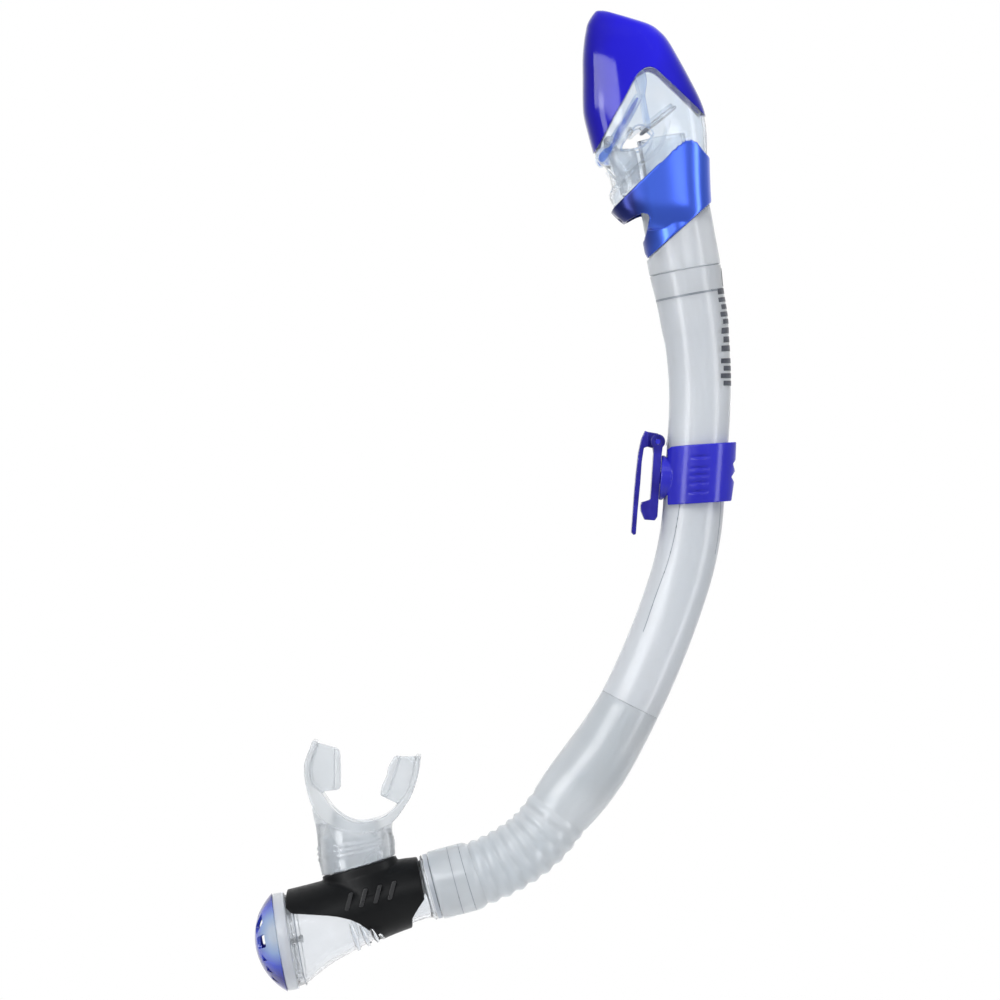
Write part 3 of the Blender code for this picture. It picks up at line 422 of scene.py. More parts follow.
# name: roughness, sockets, colour (dark, light, noise scale, stretch) or fade, gloss (low, high, noise scale,
# stretch), bumps (noise scale, depth, stretch, detail).  The gloss of a large see-through piece stays on one
# side of 0.274, where the denoiser's view of it changes; a range across that leaves blotches.
PAINTS = {
    # The hood's blue is painted darker towards its left and right ends and brightest just right of its middle:
    # painted shade at the edges, where its sides turn away from the light.
    "hood_blue": (0.1, dict(Specular_IOR_Level=0.3),
        dict(axis=(1.0, 0.0, 0.0), start=-0.030, end=0.026,
             stops=[(0.04, (0.012, 0.007, 0.32)), (0.30, (0.014, 0.009, 0.62)),
                    (0.62, (0.018, 0.013, 0.76)), (0.92, (0.014, 0.012, 0.42))]),
        (0.06, 0.12, 300.0), (60.0, 0.01, EVEN, 1.0)),
    # The collar is painted very dark over its left part and its own bright blue towards its right end, along x
    # and rising slightly with height: painted shade on the left part.
    "collar_blue": (0.27, dict(Metallic=0.6),
        dict(axis=(1.0, 0.0, 0.15), start=-0.004, end=0.056,
             stops=[(0.29, (0.006, 0.014, 0.14)), (0.43, (0.052, 0.130, 0.72)),
                    (0.70, (0.055, 0.130, 0.78)), (0.90, (0.060, 0.145, 0.80))]),
        (0.23, 0.265, 40.0), (90.0, 0.006, EVEN, 1.0)),
    "clear_blue": (0.05, dict(Transmission_Weight=0.90, IOR=1.28),
        ((0.86, 0.92, 0.99), (0.95, 0.975, 1.0), 45.0), (0.02, 0.12, 200.0), (75.0, 0.05, EVEN, 1.5)),
    "rim_blue": (0.10, dict(Transmission_Weight=0.9, IOR=1.36),
        ((0.10, 0.22, 0.88), (0.45, 0.62, 1.0), 160.0, (1.0, 1.0, 0.35)), (0.05, 0.15, 300.0), (110.0, 0.04)),
    "pale_blue": (0.06, dict(Transmission_Weight=0.95, IOR=1.45),
        ((0.58, 0.72, 0.96), (0.93, 0.96, 1.0), 130.0, (1.0, 1.0, 0.4)),
        (0.03, 0.10, 200.0), (110.0, 0.05, EVEN, 1.5)),
    "clear_plastic": (0.10, dict(Transmission_Weight=0.95, IOR=1.32),
        ((0.90, 0.925, 0.955), (0.96, 0.97, 0.985), 30.0), (0.05, 0.18, 260.0), (80.0, 0.02, (1.0, 1.0, 0.25))),
    "clear_thick": (0.05, dict(Transmission_Weight=1.0, IOR=1.49),
        ((0.86, 0.885, 0.92), (0.95, 0.96, 0.975), 60.0), (0.03, 0.10, 260.0), (120.0, 0.02, EVEN, 1.0)),
    "frosted_tube": (0.30, dict(Transmission_Weight=0.5, IOR=1.32, Coat_Weight=0.3, Coat_Roughness=0.14),
        ((0.80, 0.845, 0.895), (0.90, 0.925, 0.96), 22.0, (1.0, 1.0, 0.12)),
        (0.285, 0.33, 60.0, (1.0, 1.0, 0.1)), (40.0, 0.006, (1.0, 1.0, 0.15), 1.0)),
    "clear_silicone": (0.32, dict(Transmission_Weight=0.55, IOR=1.36, Coat_Weight=0.35, Coat_Roughness=0.16),
        ((0.78, 0.825, 0.865), (0.87, 0.90, 0.93), 35.0), (0.285, 0.34, 80.0), (45.0, 0.015, EVEN, 1.0)),
    "mouth_silicone": (0.20, dict(Transmission_Weight=0.72, IOR=1.35, Coat_Weight=0.4, Coat_Roughness=0.10),
        ((0.75, 0.79, 0.825), (0.86, 0.885, 0.91), 40.0),
        (0.15, 0.25, 60.0), (70.0, 0.02, (1.0, 1.0, 2.2), 1.0)),
    "line_grey": (0.3, dict(Transmission_Weight=0.4, IOR=1.4),
        ((0.30, 0.34, 0.40), (0.48, 0.52, 0.58), 90.0), (0.25, 0.4, 300.0), (300.0, 0.01)),
    "clip_blue": (0.16, dict(Transmission_Weight=0.25, IOR=1.42, Specular_IOR_Level=0.35),
        ((0.020, 0.018, 0.52), (0.050, 0.050, 0.80), 45.0, (1.0, 1.0, 0.25)),
        (0.12, 0.24, 400.0), (90.0, 0.03, (1.0, 1.0, 0.3), 1.5)),
    "gate_blue": (0.14, dict(Transmission_Weight=0.45, IOR=1.42, Specular_IOR_Level=0.35),
        ((0.012, 0.008, 0.26), (0.05, 0.045, 0.58), 150.0, (1.0, 1.0, 0.6)),
        (0.10, 0.22, 400.0), (120.0, 0.015)),
    # The dome is painted near white round a point at the front of its rim (its side towards -Y), then bright
    # blue, then dark navy further off: a painted highlight at that point and painted shade towards its far
    # edges.
    "cover_blue": (0.14, dict(Transmission_Weight=0.4, IOR=1.30, Coat_Weight=0.3, Coat_Roughness=0.06),
        dict(axis=(-0.1695, -0.021, -0.2040), start=0.003, end=0.026, operation="DISTANCE",
             stops=[(0.05, (0.85, 0.93, 1.0)), (0.32, (0.50, 0.68, 1.0)),
                    (0.58, (0.09, 0.15, 0.92)), (0.86, (0.02, 0.02, 0.36))]),
        (0.08, 0.2, 400.0), (110.0, 0.03)),
    "black_rubber": (0.42, dict(Specular_IOR_Level=0.16),
        ((0.003, 0.0035, 0.0045), (0.006, 0.007, 0.008), 60.0),
        (0.34, 0.48, 500.0), (1300.0, 0.012), (120.0, 0.02)),
    "grip_black": (0.3, dict(Specular_IOR_Level=0.6),
        ((0.010, 0.011, 0.013), (0.020, 0.021, 0.024), 80.0), (0.24, 0.36, 500.0), (900.0, 0.01)),
    "grey_plastic": (0.35, {},
        ((0.42, 0.46, 0.52), (0.55, 0.58, 0.63), 80.0), (0.3, 0.45, 600.0), (900.0, 0.01)),
    "mark_grey": (0.4, {},
        ((0.035, 0.042, 0.06), (0.11, 0.125, 0.16), 260.0), (0.34, 0.48, 600.0), (900.0, 0.01)),
    "float_grey": (0.5, dict(Transmission_Weight=0.5, IOR=1.3),
        ((0.66, 0.71, 0.77), (0.80, 0.84, 0.88), 160.0), (0.4, 0.6, 500.0), (1400.0, 0.03)),
    "white_silicone": (0.35, dict(Transmission_Weight=0.2),
        ((0.78, 0.80, 0.82), (0.86, 0.88, 0.90), 90.0), (0.3, 0.42, 500.0), (600.0, 0.01)),
    "pin_steel": (0.25, dict(Metallic=1.0), ((0.52, 0.53, 0.55), (0.66, 0.67, 0.69), 300.0, (1.0, 0.05, 1.0)),
        (0.15, 0.32, 900.0, (1.0, 0.05, 1.0)), (2500.0, 0.01, (1.0, 0.05, 1.0))),
}


def make_paints():
    made = {}
    for name, (roughness, sockets, colour, gloss, *bumps) in PAINTS.items():
        paint = Paint(name, roughness, sockets)
        if isinstance(colour, dict):
            paint.fade(**colour)
        else:
            paint.colour(*colour)
        paint.gloss(*gloss)
        for bump in bumps:
            paint.bump(*bump)
        made[name] = paint.material
    return made


PAINT = make_paints()


# ---------------------------------------------------------------- dry top

# height, left end, right end, half depth of the body
HOOD_LEVELS = [
    (209.84, -22.95, -22.5, 0.3), (209.47, -24.98, -20.48, 5), (208.35, -26.1, -16.43, 8),
    (206.1, -27.68, -8.78, 10.5), (203.4, -29.03, -0.68, 12.3), (200.25, -29.7, 3.83, 13.6),
    (196.2, -30.38, 7.42, 14.6), (188.55, -31.05, 11.93, 15.8), (178.65, -31.05, 17.32, 16.5),
    (169.65, -31.05, 21.82, 16.8), (162.45, -30.6, 24.21, 16.8), (153.9, -28.57, 24.75, 16.8),
    (144.9, -26.1, 25.43, 16.8), (137.25, -23.62, 25.43, 16.8),
]
CHAMBER_LEVELS = [
    (192.15, -30.6, 9.68, 15.3), (185.85, -30.73, 13.28, 16.0), (178.65, -30.82, 17.05, 16.4),
    (169.65, -30.82, 21.6, 16.7), (161.55, -30.38, 23.76, 16.8), (153.9, -28.35, 24.8, 16.8),
    (148.05, -26.32, 24.93, 16.8), (144, -25.07, 24.88, 16.8), (140.85, -23.18, 24.43, 16.8),
    (138.15, -20.03, 24.3, 16.8), (130.5, -18, 24.3, 16.8), (126, -18.9, 24.3, 16.8),
    (121.5, -17.1, 24.3, 16.8), (117.45, -15.08, 24.3, 16.8),
]
COLLAR_LEVELS = [
    (157.05, -30.38, 26.15, 18.2), (142.65, -24.98, 26.15, 18.2), (130.5, -22.28, 26.5, 18.2),
    (122.4, -19.8, 26.95, 18.2), (118.35, -17.78, 26.95, 17.7), (114.75, -14.62, 26.5, 16.7),
    (111.6, -7.88, 25.43, 15.4), (110.25, -0.68, 23.62, 13.6),
]
HOOD_EDGE = [
    (-26.32, 145.35), (-23.18, 150.3), (-17.78, 160.65), (-11.93, 171), (-7.88, 178.65), (-4.73, 182.25),
    (-1.57, 183.6), (1.57, 182.7), (5.17, 179.55), (11.03, 174.15), (17.32, 168.3), (24.07, 162.22),
]
COLLAR_EDGE = [
    (-21.38, 117), (-16.88, 121.05), (-7.88, 129.83), (3.83, 141.12), (12.83, 149.85), (16.43, 152.1),
    (19.57, 150.3), (22.73, 146.25), (28.12, 141.75),
]
SQUARENESS = 3.1  # exponent of the rounded cross-section
AIR_WINDOW = [
    (-13.5, 146.7), (-12.38, 150.3), (-9.68, 154.12), (-6.53, 157.05), (-2.93, 156.38), (0, 153.9),
    (-2.02, 150.75), (-4.73, 148.05), (-7.88, 147.15), (-11.03, 146.47),
]
WINDOW_RIM = [
    (-14.4, 146.03), (-13.05, 150.53), (-10.12, 154.8), (-6.75, 157.86), (-2.7, 157.14), (0.9, 153.9),
    (-1.35, 150.3), (-4.28, 147.33), (-7.65, 146.34), (-11.03, 145.62),
]
# name: paint, distances of its faces from the plane of symmetry, outline
CHAMBER_RIBS = {
    "upright": ("pale_blue", 13.6, 14.9, [
        (-7.65, 180.45), (-3.83, 181.8), (-2.48, 176.85), (-3.15, 171), (-2.02, 163.8), (-0.68, 157.5),
        (-2.25, 156.15), (-4.05, 163.35), (-5.4, 171), (-6.53, 175.05),
    ]),
    "edge": ("pale_blue", 13.6, 14.9, [
        (-24.3, 141.3), (-25.2, 144), (-23.62, 146.7), (-20.48, 148.95), (-16.88, 155.25), (-11.93, 163.8),
        (-7.88, 171), (-5.4, 171.45), (-4.73, 169.65), (-8.33, 162), (-13.28, 153.45), (-17.32, 146.25),
        (-20.48, 141.3), (-22.73, 139.95),
    ]),
    "streak": ("rim_blue", 14.7, 15.1, [
        (-23.62, 141.3), (-24.07, 143.55), (-21.6, 146.7), (-18.9, 148.28), (-15.97, 155.03), (-11.47, 162.9),
        (-7.65, 168.97), (-6.3, 168.97), (-9.68, 162.22), (-14.18, 154.12), (-17.55, 147.15), (-20.48, 142.65),
        (-22.28, 140.85),
    ]),
    "slant": ("clear_thick", 13.6, 14.9, [
        (-18.23, 128.7), (-16.65, 127.8), (-6.53, 137.7), (2.48, 144.9), (5.62, 149.4), (8.1, 158.85),
        (6.75, 159.08), (3.83, 150.3), (1.12, 146.47), (-7.88, 139.05),
    ]),
    "lower": ("clear_thick", 13.6, 14.9, [
        (-20.48, 137.25), (-19.12, 137.7), (-15.53, 134.55), (-10.58, 141.3), (-9.22, 140.4), (-14.4, 132.75),
        (-16.88, 133.2),
    ]),
}
# radius and height of the foot of the sleeve, from its bore outward
NECK_LOW = [
    (9.3, -11.4), (12.6, -11.4), (13.2, -10.8), (13.2, -6.4), (12.2, -6.3), (12.2, -4.1), (13.2, -4.0),
    (13.2, 0.15), (15.6, 0.2), (16.1, 0.5), (16.2, 1.0),
]
COLLAR_OUTLINE = [
    (-17.1, 120.83), (-7.88, 129.83), (3.83, 141.12), (12.83, 149.85), (16.43, 152.1), (19.57, 150.3),
    (22.73, 146.25), (27.23, 142.2), (29.93, 126.45), (15.97, 113.62), (2.93, 102.38), (-1.57, 98.37),
    (-3.15, 100.8), (-4.73, 103.95), (-3.24, 106.65), (-2.02, 112.05), (-1.3, 115.88), (-2.02, 117.45),
    (-4.28, 117.99), (-6.98, 117), (-12.38, 113.85), (-15.53, 116.55), (-18.23, 119.03),
]


def section_ring(level, inset, steps):
    """A rounded-square ring at a level row (z, low, high, half)."""
    z, low, high, half = level
    middle = (low + high) / 2.0
    a = max((high - low) / 2.0 - inset, 0.02)
    b = max(half - inset, 0.02)
    ring = []
    for c, s in circle(steps):
        reach = (abs(c) ** SQUARENESS + abs(s) ** SQUARENESS) ** (-1.0 / SQUARENESS)
        ring.append((middle + a * c * reach, b * s * reach, z))
    return np.array(ring)


def line_height(line):
    """z of an (x, z) line as a function of x, flat past its ends."""
    smooth = curve_through(line, 10)
    xs = np.array([q[0] for q in smooth])
    zs = np.array([q[1] for q in smooth])
    order = np.argsort(xs)

    def height(x):
        return np.interp(x, xs[order], zs[order])

    return height


def draped_grid(levels, inset, top, bottom, rows=70, steps=240):
    """Rings over a body given by levels, cut off above and below where it meets two lines."""
    fine = [section_ring(level, inset, steps) for level in curve_through(levels, 30)]
    body = np.array(fine)
    columns = []
    for i in range(steps):
        line = body[:, i, :]
        start = 0.0
        end = len(line) - 1.0
        if top is not None:
            over = line[:, 2] - top(line[:, 0])
            inside = np.nonzero(over <= 0.0)[0]
            k = inside[0] if len(inside) else len(line) - 2
            if k > 0:
                start = k - 1 + over[k - 1] / (over[k - 1] - over[k])
        if bottom is not None:
            under = line[:, 2] - bottom(line[:, 0])
            past = np.nonzero((under <= 0.0) & (np.arange(len(line)) > start))[0]
            if len(past):
                k = past[0]
                end = k - 1 + under[k - 1] / (under[k - 1] - under[k])
        end = max(end, start + 0.01)
        marks = np.linspace(start, end, rows)
        low = np.floor(marks).astype(int).clip(0, len(line) - 2)
        share = (marks - low)[:, None]
        columns.append(line[low] * (1.0 - share) + line[low + 1] * share)
    return np.array(columns).transpose(1, 0, 2)


def draped_wall(levels, thick, top, bottom, rows=70, steps=240):
    """A closed wall between two lines on a body, open at the top and the bottom of the body."""
    outer, inner = (draped_grid(levels, inset, top, bottom, rows, steps) for inset in (0.0, thick))
    lip_top = (outer[0] + inner[0]) / 2.0 + np.array([0.0, 0.0, 0.25])
    lip_low = (outer[-1] + inner[-1]) / 2.0 - np.array([0.0, 0.0, 0.25])
    rings = [lip_top] + list(outer) + [lip_low] + list(inner[::-1])
    return loft(rings, closed=True)


def make_hood():
    edge = line_height(HOOD_EDGE)
    outer, inner = (draped_grid(HOOD_LEVELS, inset, None, edge, 90, 260) for inset in (0.0, 1.6))
    lip = (outer[-1] + inner[-1]) / 2.0 - np.array([0.0, 0.0, 0.3])
    near = outer[-1] * 0.85 + inner[-1] * 0.15 - np.array([0.0, 0.0, 0.2])
    inner[:, :, 2] -= 0.8 * (1.0 - np.linspace(0.0, 1.0, 90))[:, None]
    rings = list(outer) + [near, lip] + list(inner[::-1])
    piece("hood_shell", loft(rings), "barrel", "hood_blue", ["hood"], 50)


def make_chamber():
    below = line_height([(x, z - 5.5) for x, z in COLLAR_EDGE])
    seen_top = line_height([(x, z - 0.5) for x, z in HOOD_EDGE])
    shell = draped_wall(CHAMBER_LEVELS, 1.5, seen_top, below, 80)
    window = curve_through(AIR_WINDOW, 6, closed=True)
    shell = carved(shell, prism(window, *THROUGH))
    piece("chamber_shell", shell, "barrel", "clear_blue", ["float_chamber"], 35)
    for name, (paint, inner, outer, outline) in CHAMBER_RIBS.items():
        for end, side in SIDES.items():
            rib = melted(side_prism(curve_through(outline, 4, closed=True), side, inner, outer), 0.22, 3)
            piece(f"chamber_rib_{name}_{end}", rib, "barrel", paint, (), 60)
    for end, side in SIDES.items():
        rim = side_prism(curve_through(WINDOW_RIM, 6, closed=True), side, 13.2, 15.0)
        rim = melted(carved(rim, prism(window, *THROUGH)), 0.2, 3)
        piece(f"chamber_window_rim_{end}", rim, "barrel", "pale_blue", (), 60)


def make_collar():
    edge = line_height(COLLAR_EDGE)
    rings = draped_grid(COLLAR_LEVELS, 0.0, edge, None, 60, 220)
    solid = loft(list(rings))
    sleeve = turned([(0.0, 3.0), (16.5, 3.0), (16.5, 31.5), (0.0, 31.5)], SEAM, TOP_LEAN, 128)
    solid = joined(solid, sleeve)
    solid = combined(solid, prism(COLLAR_OUTLINE, *THROUGH), "INTERSECT")
    above = line_height([(x, z + 3.0) for x, z in COLLAR_EDGE])
    inner = draped_grid(COLLAR_LEVELS[:-2], 1.1, above, None, 40, 160)
    solid = carved(solid, loft(list(inner)))
    solid = carved(solid, turned([(0.0, 0.0), (15.25, 0.0), (15.25, 38.0), (0.0, 38.0)], SEAM, TOP_LEAN, 128))
    solid = melted(solid, 0.32, 8)
    piece("splash_collar_shell", solid, "barrel", "collar_blue", ["splash_collar"])


def make_neck():
    """The clear pipe under the valve seat with the sleeve that shows below the collar."""
    slope = 24.39 / 27.0  # rise of the collar's lower edge towards the tube's outer side
    line_x, line_z = (15.97, 113.4)
    sleeve = 16.2

    def slant(c):
        """Height along the pipe of the collar's lower edge, at this cosine round the sleeve."""
        low, high = 0.2, 30.0
        for _ in range(30):
            mid = (low + high) / 2.0
            x, z = TOP(sleeve * c, mid)
            if z < line_z + slope * (x - line_x):
                low = mid
            else:
                high = mid
        return low

    columns = []
    for c, s in circle(160):
        top = min(slant(c), 29.0)
        line = NECK_LOW + [(sleeve, 1.0 + (top - 1.0) * k / 8.0) for k in range(1, 9)]
        line += [(14.9, top + 0.1), (14.9, 30.0), (13.4, 30.0), (13.4, 22.5), (9.3, 22.4), (9.3, 0.0)]
        places = [TOP(radius * c, up) for radius, up in line]
        columns.append([(x, radius * s, z) for (x, z), (radius, up) in zip(places, line)])
    rows = np.array(columns).transpose(1, 0, 2)
    piece("neck_sleeve", loft(list(rows), closed=True), "barrel", "frosted_tube",
          ["top_connector"], 40)
    seat = [(9.3, 22.6), (10.8, 22.6), (10.8, SEAT_UP - 2.6), (11.0, SEAT_UP - 2.0), (11.0, SEAT_UP - 0.3),
            (10.7, SEAT_UP), (9.6, SEAT_UP), (9.3, SEAT_UP - 0.3)]
    piece("valve_pipe", turned(seat, SEAM, TOP_LEAN, 128), "barrel", "clear_blue",
          ["top_connector"], 40)


# ---------------------------------------------------------------- tube

# distance, radius in the plane, radius across it
TUBE_ROWS = [
    (0.2, 16.1, 16.1), (4.0, 15.95, 15.95), (11.0, 15.4, 15.4), (25.0, 15.1, 14.7), (32.0, 14.5, 13.7),
    (46.0, 14.1, 12.6), (66.0, 13.9, 12.2), (110.0, 13.85, 12.2), (150.0, 13.8, 12.3), (194.0, 13.9, 13.7),
    (200.9, 13.95, 13.92),
]


def row_at(rows, s):
    """The values of a smooth table at a distance, which is its first column."""
    marks = np.array(curve_through(rows, 12))
    return tuple(np.interp(s, marks[:, 0], marks[:, k]) for k in range(1, marks.shape[1]))


def tube_at(s):
    """The frame and the two radii of the tube, a distance down it."""
    centre, lean = pipe_at(s)
    return frame_of(centre, lean), *row_at(TUBE_ROWS, s)


def faceted_oval(centre, lean, rx, ry, steps, depth):
    """An oval ring whose surface has six very soft flats along the tube."""
    ring = np.array(oval(centre, lean, rx, ry, steps))
    middle = np.array([centre[0], 0.0, centre[1]])
    flats = np.cos(6.0 * 2.0 * math.pi * np.arange(steps) / steps)
    return middle + (ring - middle) * (1.0 - depth * (1.0 + flats) / 2.0)[:, None]


def make_tube():
    steps = 144
    outside = []
    inside = []
    for s in np.linspace(0.2, 200.7, 150):
        centre, lean = pipe_at(s)
        rx, ry = row_at(TUBE_ROWS, s)
        soft = 0.010 * min(1.0, max(0.0, (s - 30.0) / 30.0)) * min(1.0, max(0.0, (200.0 - s) / 40.0))
        outside.append(faceted_oval(centre, lean, rx, ry, steps, soft))
        wall = 1.8 if s > 13.0 else min(rx - 13.6, 2.5)
        inside.append(faceted_oval(centre, lean, rx - wall, ry - wall, steps, soft * 0.4))
    # distance and radius of the end that sits in the hose's cuff
    for s, radius in ((200.8, 13.6), (200.9, 13.0), (201.2, 12.9), (225.0, 12.9), (242.4, 12.9), (242.9, 12.6)):
        outside.append(spigot_ring(radius, s, steps))
        inside.append(spigot_ring(11.1, s, steps))
    tube = loft(outside + inside[::-1], closed=True)
    stop = [(6.43, 14.26), (8.01, 20.25), (8.46, 20.25), (8.46, 14.26)]
    tube = joined(tube, prism(stop, -3.0, 3.0))
    piece("breathing_tube", tube, "barrel", "frosted_tube", ["tube"], 50)


# distance down the tube, and share of the half width, of the lines along it
LONG_LINES = {
    "front": [(98.0, -0.45), (112.0, -0.50), (132.0, -0.56), (150.0, -0.62), (168.0, -0.60)],
    "outer": [(98.0, 0.86), (112.0, 0.88), (126.0, 0.90)],
}
# name: distance, radius, half width, body of the lines round it
RING_LINES = {
    "socket": (11.3, 15.42, 0.45, "barrel"), "spigot": (316.2, 15.62, 0.12, "lower"),
    "cuff": (310.6, 15.60, 0.12, "lower"),
}


def moulded_line(name, rings, closed, body):
    piece(name, loft(rings, closed=closed), body, "line_grey", (), 60)


def make_moulded_lines():
    """Fine lines along and round the tube and the cuffs."""
    for name, spans in LONG_LINES.items():
        rings = []
        for s, share in curve_through(spans, 12):
            at, rx, ry = tube_at(s)
            ring = []
            for side, lift in ((-0.16, -0.2), (-0.12, 0.05), (0.12, 0.05), (0.16, -0.2)):
                across = (rx - 0.1) * share + side
                x, z = at(across, 0.0)
                ring.append((x, -(ry + lift) * math.sqrt(1.0 - (across / rx) ** 2), z))
            rings.append(ring)
        moulded_line(f"tube_line_{name}", rings, False, "barrel")
    for name, (s, radius, half, body) in RING_LINES.items():
        rings = [spigot_ring(radius + lift, here, 128) for here, lift in
                 ((s - half - 0.1, -0.3), (s - half, 0.03), (s + half, 0.03), (s + half + 0.1, -0.3))]
        moulded_line(f"ring_line_{name}", rings, True, body)
    rings = [end_ring(radius, a) for radius, a in ((20.6, -9.0), (20.95, -8.95), (20.95, -8.65), (20.6, -8.6))]
    moulded_line("ring_line_flare", rings, True, "lower")


# start down the tube, length, half width, count of bars
MARK_ROWS = [
    (2.0, 8.2, 2.6, 1), (10.9, 2.6, 9.2, 1), (15.0, 11.4, 9.4, 4), (28.0, 10.0, 9.2, 3), (41.0, 11.6, 9.4, 4),
]
MARK_LIFT = 0.14


def make_tube_marks():
    """Groups of plain printed bars down the outer bend of the tube."""
    for index, (start, length, half, count) in enumerate(MARK_ROWS):
        pitch = length / (count - 0.35)
        bars = bmesh.new()
        for number in range(count):
            rings = []
            for k in range(5):
                here = start + pitch * (number + 0.65 * k / 4.0)
                at, rx, ry = tube_at(here)
                edge = half * (1.0 - 0.12 * (number % 2))
                outer = []
                inner = []
                for j in range(25):
                    y = edge * (j / 12.0 - 1.0)
                    across = math.sqrt(max(0.0, 1.0 - (y / ry) ** 2))
                    x, z = at(rx * across + MARK_LIFT, 0.0)
                    outer.append((x, y, z))
                    x, z = at((rx - 0.4) * across, 0.0)
                    inner.append((x, y * 0.99, z))
                rings.append(outer + inner[::-1])
            bars.from_mesh(loft(rings))
        mesh = bpy.data.meshes.new("bars")
        bars.to_mesh(mesh)
        bars.free()
        piece(f"tube_mark_{index}", mesh, "barrel", "mark_grey", (), 30)


# ---------------------------------------------------------------- clip

KEEPER_OUTLINE = [
    (6.98, 12.24), (8.78, 13.64), (17.32, 14.4), (38.02, 15.75), (37.8, 7.65), (36.5, 5.85), (37.58, 2.7),
    (35.77, 0), (37.12, -2.25), (35.77, -10.8), (29.48, -11.25), (6.98, -12.6),
]
GATE_ARM = [
    (-1.4, 20.16), (-3.1, 20.7), (-4.73, 17.1), (-6.08, 10.8), (-7.07, 2.25), (-7.88, -6.3), (-9.22, -24.98),
    (-8.1, -26.1), (-7.15, -25.65), (-6.43, -15.75), (-5.17, -2.7), (-4.5, 6.75), (-3.55, 13.05),
    (-1.4, 13.77),
]


def clip_oval(inset_x, rx, ry, a_low, a_high, steps=120):
    centre, lean = pipe_at(CLIP_UP)
    at = frame_of(centre, lean)
    return loft([oval(at(inset_x, a), lean, rx, ry, steps) for a in (a_high, a_low)])


def clip_drum(radius, low, high, steps):
    """A drum on the swivel axis of the clip."""
    return turned([(0.0, low), (radius, low), (radius, high), (0.0, high)], (0.0, 0.0), 90.0 + CLIP_LEAN, steps)


def make_keeper():
    ring = clip_oval(1.4, 16.3, 14.6, -20.0, 20.0)
    ring = combined(ring, prism(KEEPER_OUTLINE, *THROUGH), "INTERSECT")
    ring = joined(ring, clip_drum(10.1, 3.95, 8.5, 64))
    left, right = 14.18, 29.03  # ends of the grip grooves
    for top in (9.4, 4.4, 1.2, -2.2, -6.2):
        groove = rounded([(left, top), (right, top + 0.7), (right, top - 0.7), (left, top - 1.4)], 0.5, 3)
        for side in SIDES.values():
            ring = carved(ring, side_prism(groove, side, 14.0, 14.9))
    ring = carved(ring, clip_oval(0.0, 14.2, 12.6, -24.0, 24.0), clip_drum(2.5, 3.0, 7.5, 48))
    piece("keeper_ring_body", melted(ring, 0.28, 5), "keeper", "clip_blue", ["keeper_ring"])


def make_plate():
    face = [(0.0, 10.9), (0.0, -10.0), (-0.6, -10.4)]
    block = [(-3.8, -11.6), (-4.15, -13.2), (-3.9, -15.6), (-2.0, -19.4), (2.6, -19.4), (3.7, -17.6),
             (3.7, 10.9)]
    plate = prism([CLIP(u, a) for u, a in face + block], -8.0, 8.0)
    web = [CLIP(0.4, 9.0), CLIP(3.7, 9.0), CLIP(3.9, 13.6), CLIP(-0.4, 13.6)]
    for low, high in ((4.9, 8.0), (-8.0, -4.9)):
        plate = joined(plate, prism(web, low, high), rod(KNUCKLE_R, KNUCKLE, low, high))
    plate = carved(plate, rod(PIN_BORE, KNUCKLE, *THROUGH))
    plate = joined(plate, clip_drum(2.2, 3.0, 5.0, 48))
    piece("clip_plate_body", melted(plate, 0.24, 5), "clip", "gate_blue", ["strap_plate"])


def make_gate():
    gate = prism(GATE_ARM, -7.0, 7.0)
    bridge = [(-2.02, 20.34), (2.93, 19.53), (2.93, 12.33), (-2.02, 13.59)]
    gate = joined(gate, prism(bridge, -4.5, 4.5), rod(KNUCKLE_R, KNUCKLE, -4.5, 4.5))
    gate = carved(gate, rod(PIN_BORE, KNUCKLE, *THROUGH))
    piece("clip_gate_body", melted(gate, 0.22, 5), "gate", "gate_blue", ["clip_gate"])


# ---------------------------------------------------------------- hose


def hose_rows():
    """(distance, outer radius, inner radius) down the hose, with soft round ribs."""
    rows = [(200.95, 13.88, 13.3), (201.1, 13.95, 13.2), (CUFF_TOP + 1.2, 14.05, 13.2),
            (212.0, 14.4, 13.2), (217.0, 14.65, 13.2), (222.0, 15.0, 13.2), (227.0, 15.3, 13.2),
            (232.0, 15.6, 13.2), (238.0, 15.68, 13.2), (TUBE_LENGTH + 0.4, 15.7, 13.2),
            (TUBE_LENGTH + 1.0, 15.68, 11.9), (250.0, 15.4, 11.9), (254.0, 15.05, 12.0), (257.0, 14.75, 12.2)]
    pitch = (RIB_END - RIB_START) / RIBS
    for i in range(RIBS * 10 + 1):
        s = RIB_START + pitch * i / 10.0
        wave = 0.5 - 0.5 * math.cos(2.0 * math.pi * i / 10.0)
        crown = wave ** 0.75
        fade = min(1.0, 0.55 + 0.15 * i / 10.0)
        rows.append((s, 14.35 - 0.45 * fade + 1.05 * fade * crown, 12.3 + 0.75 * crown))
    rows += [(RIB_END + 1.0, 14.7, 12.2), (RIB_END + 2.2, 15.35, 12.2), (RIB_END + 3.6, 15.55, 12.2),
             (312.0, 15.6, 12.2), (315.6, 15.6, 12.2), (315.9, 15.6, 13.95), (320.0, 15.6, 13.95),
             (HOSE_END - 1.2, 15.55, 13.95), (HOSE_END - 0.4, 15.35, 13.95), (HOSE_END, 14.9, 14.0)]
    return rows


def make_hose():
    outside = []
    inside = []
    for s, outer, inner in hose_rows():
        outside.append(spigot_ring(outer, s, 112))
        inside.append(spigot_ring(inner, s, 112))
    hose = piece("flex_hose_body", loft(outside + inside[::-1], closed=True), None, "clear_silicone",
                 ["flex_hose"], 45)
    start, end = ((x * MM, 0.0, z * MM) for (x, z), _ in (pipe_at(RIB_START), pipe_at(RIB_END)))
    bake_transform(hose)


# ---------------------------------------------------------------- lower chamber

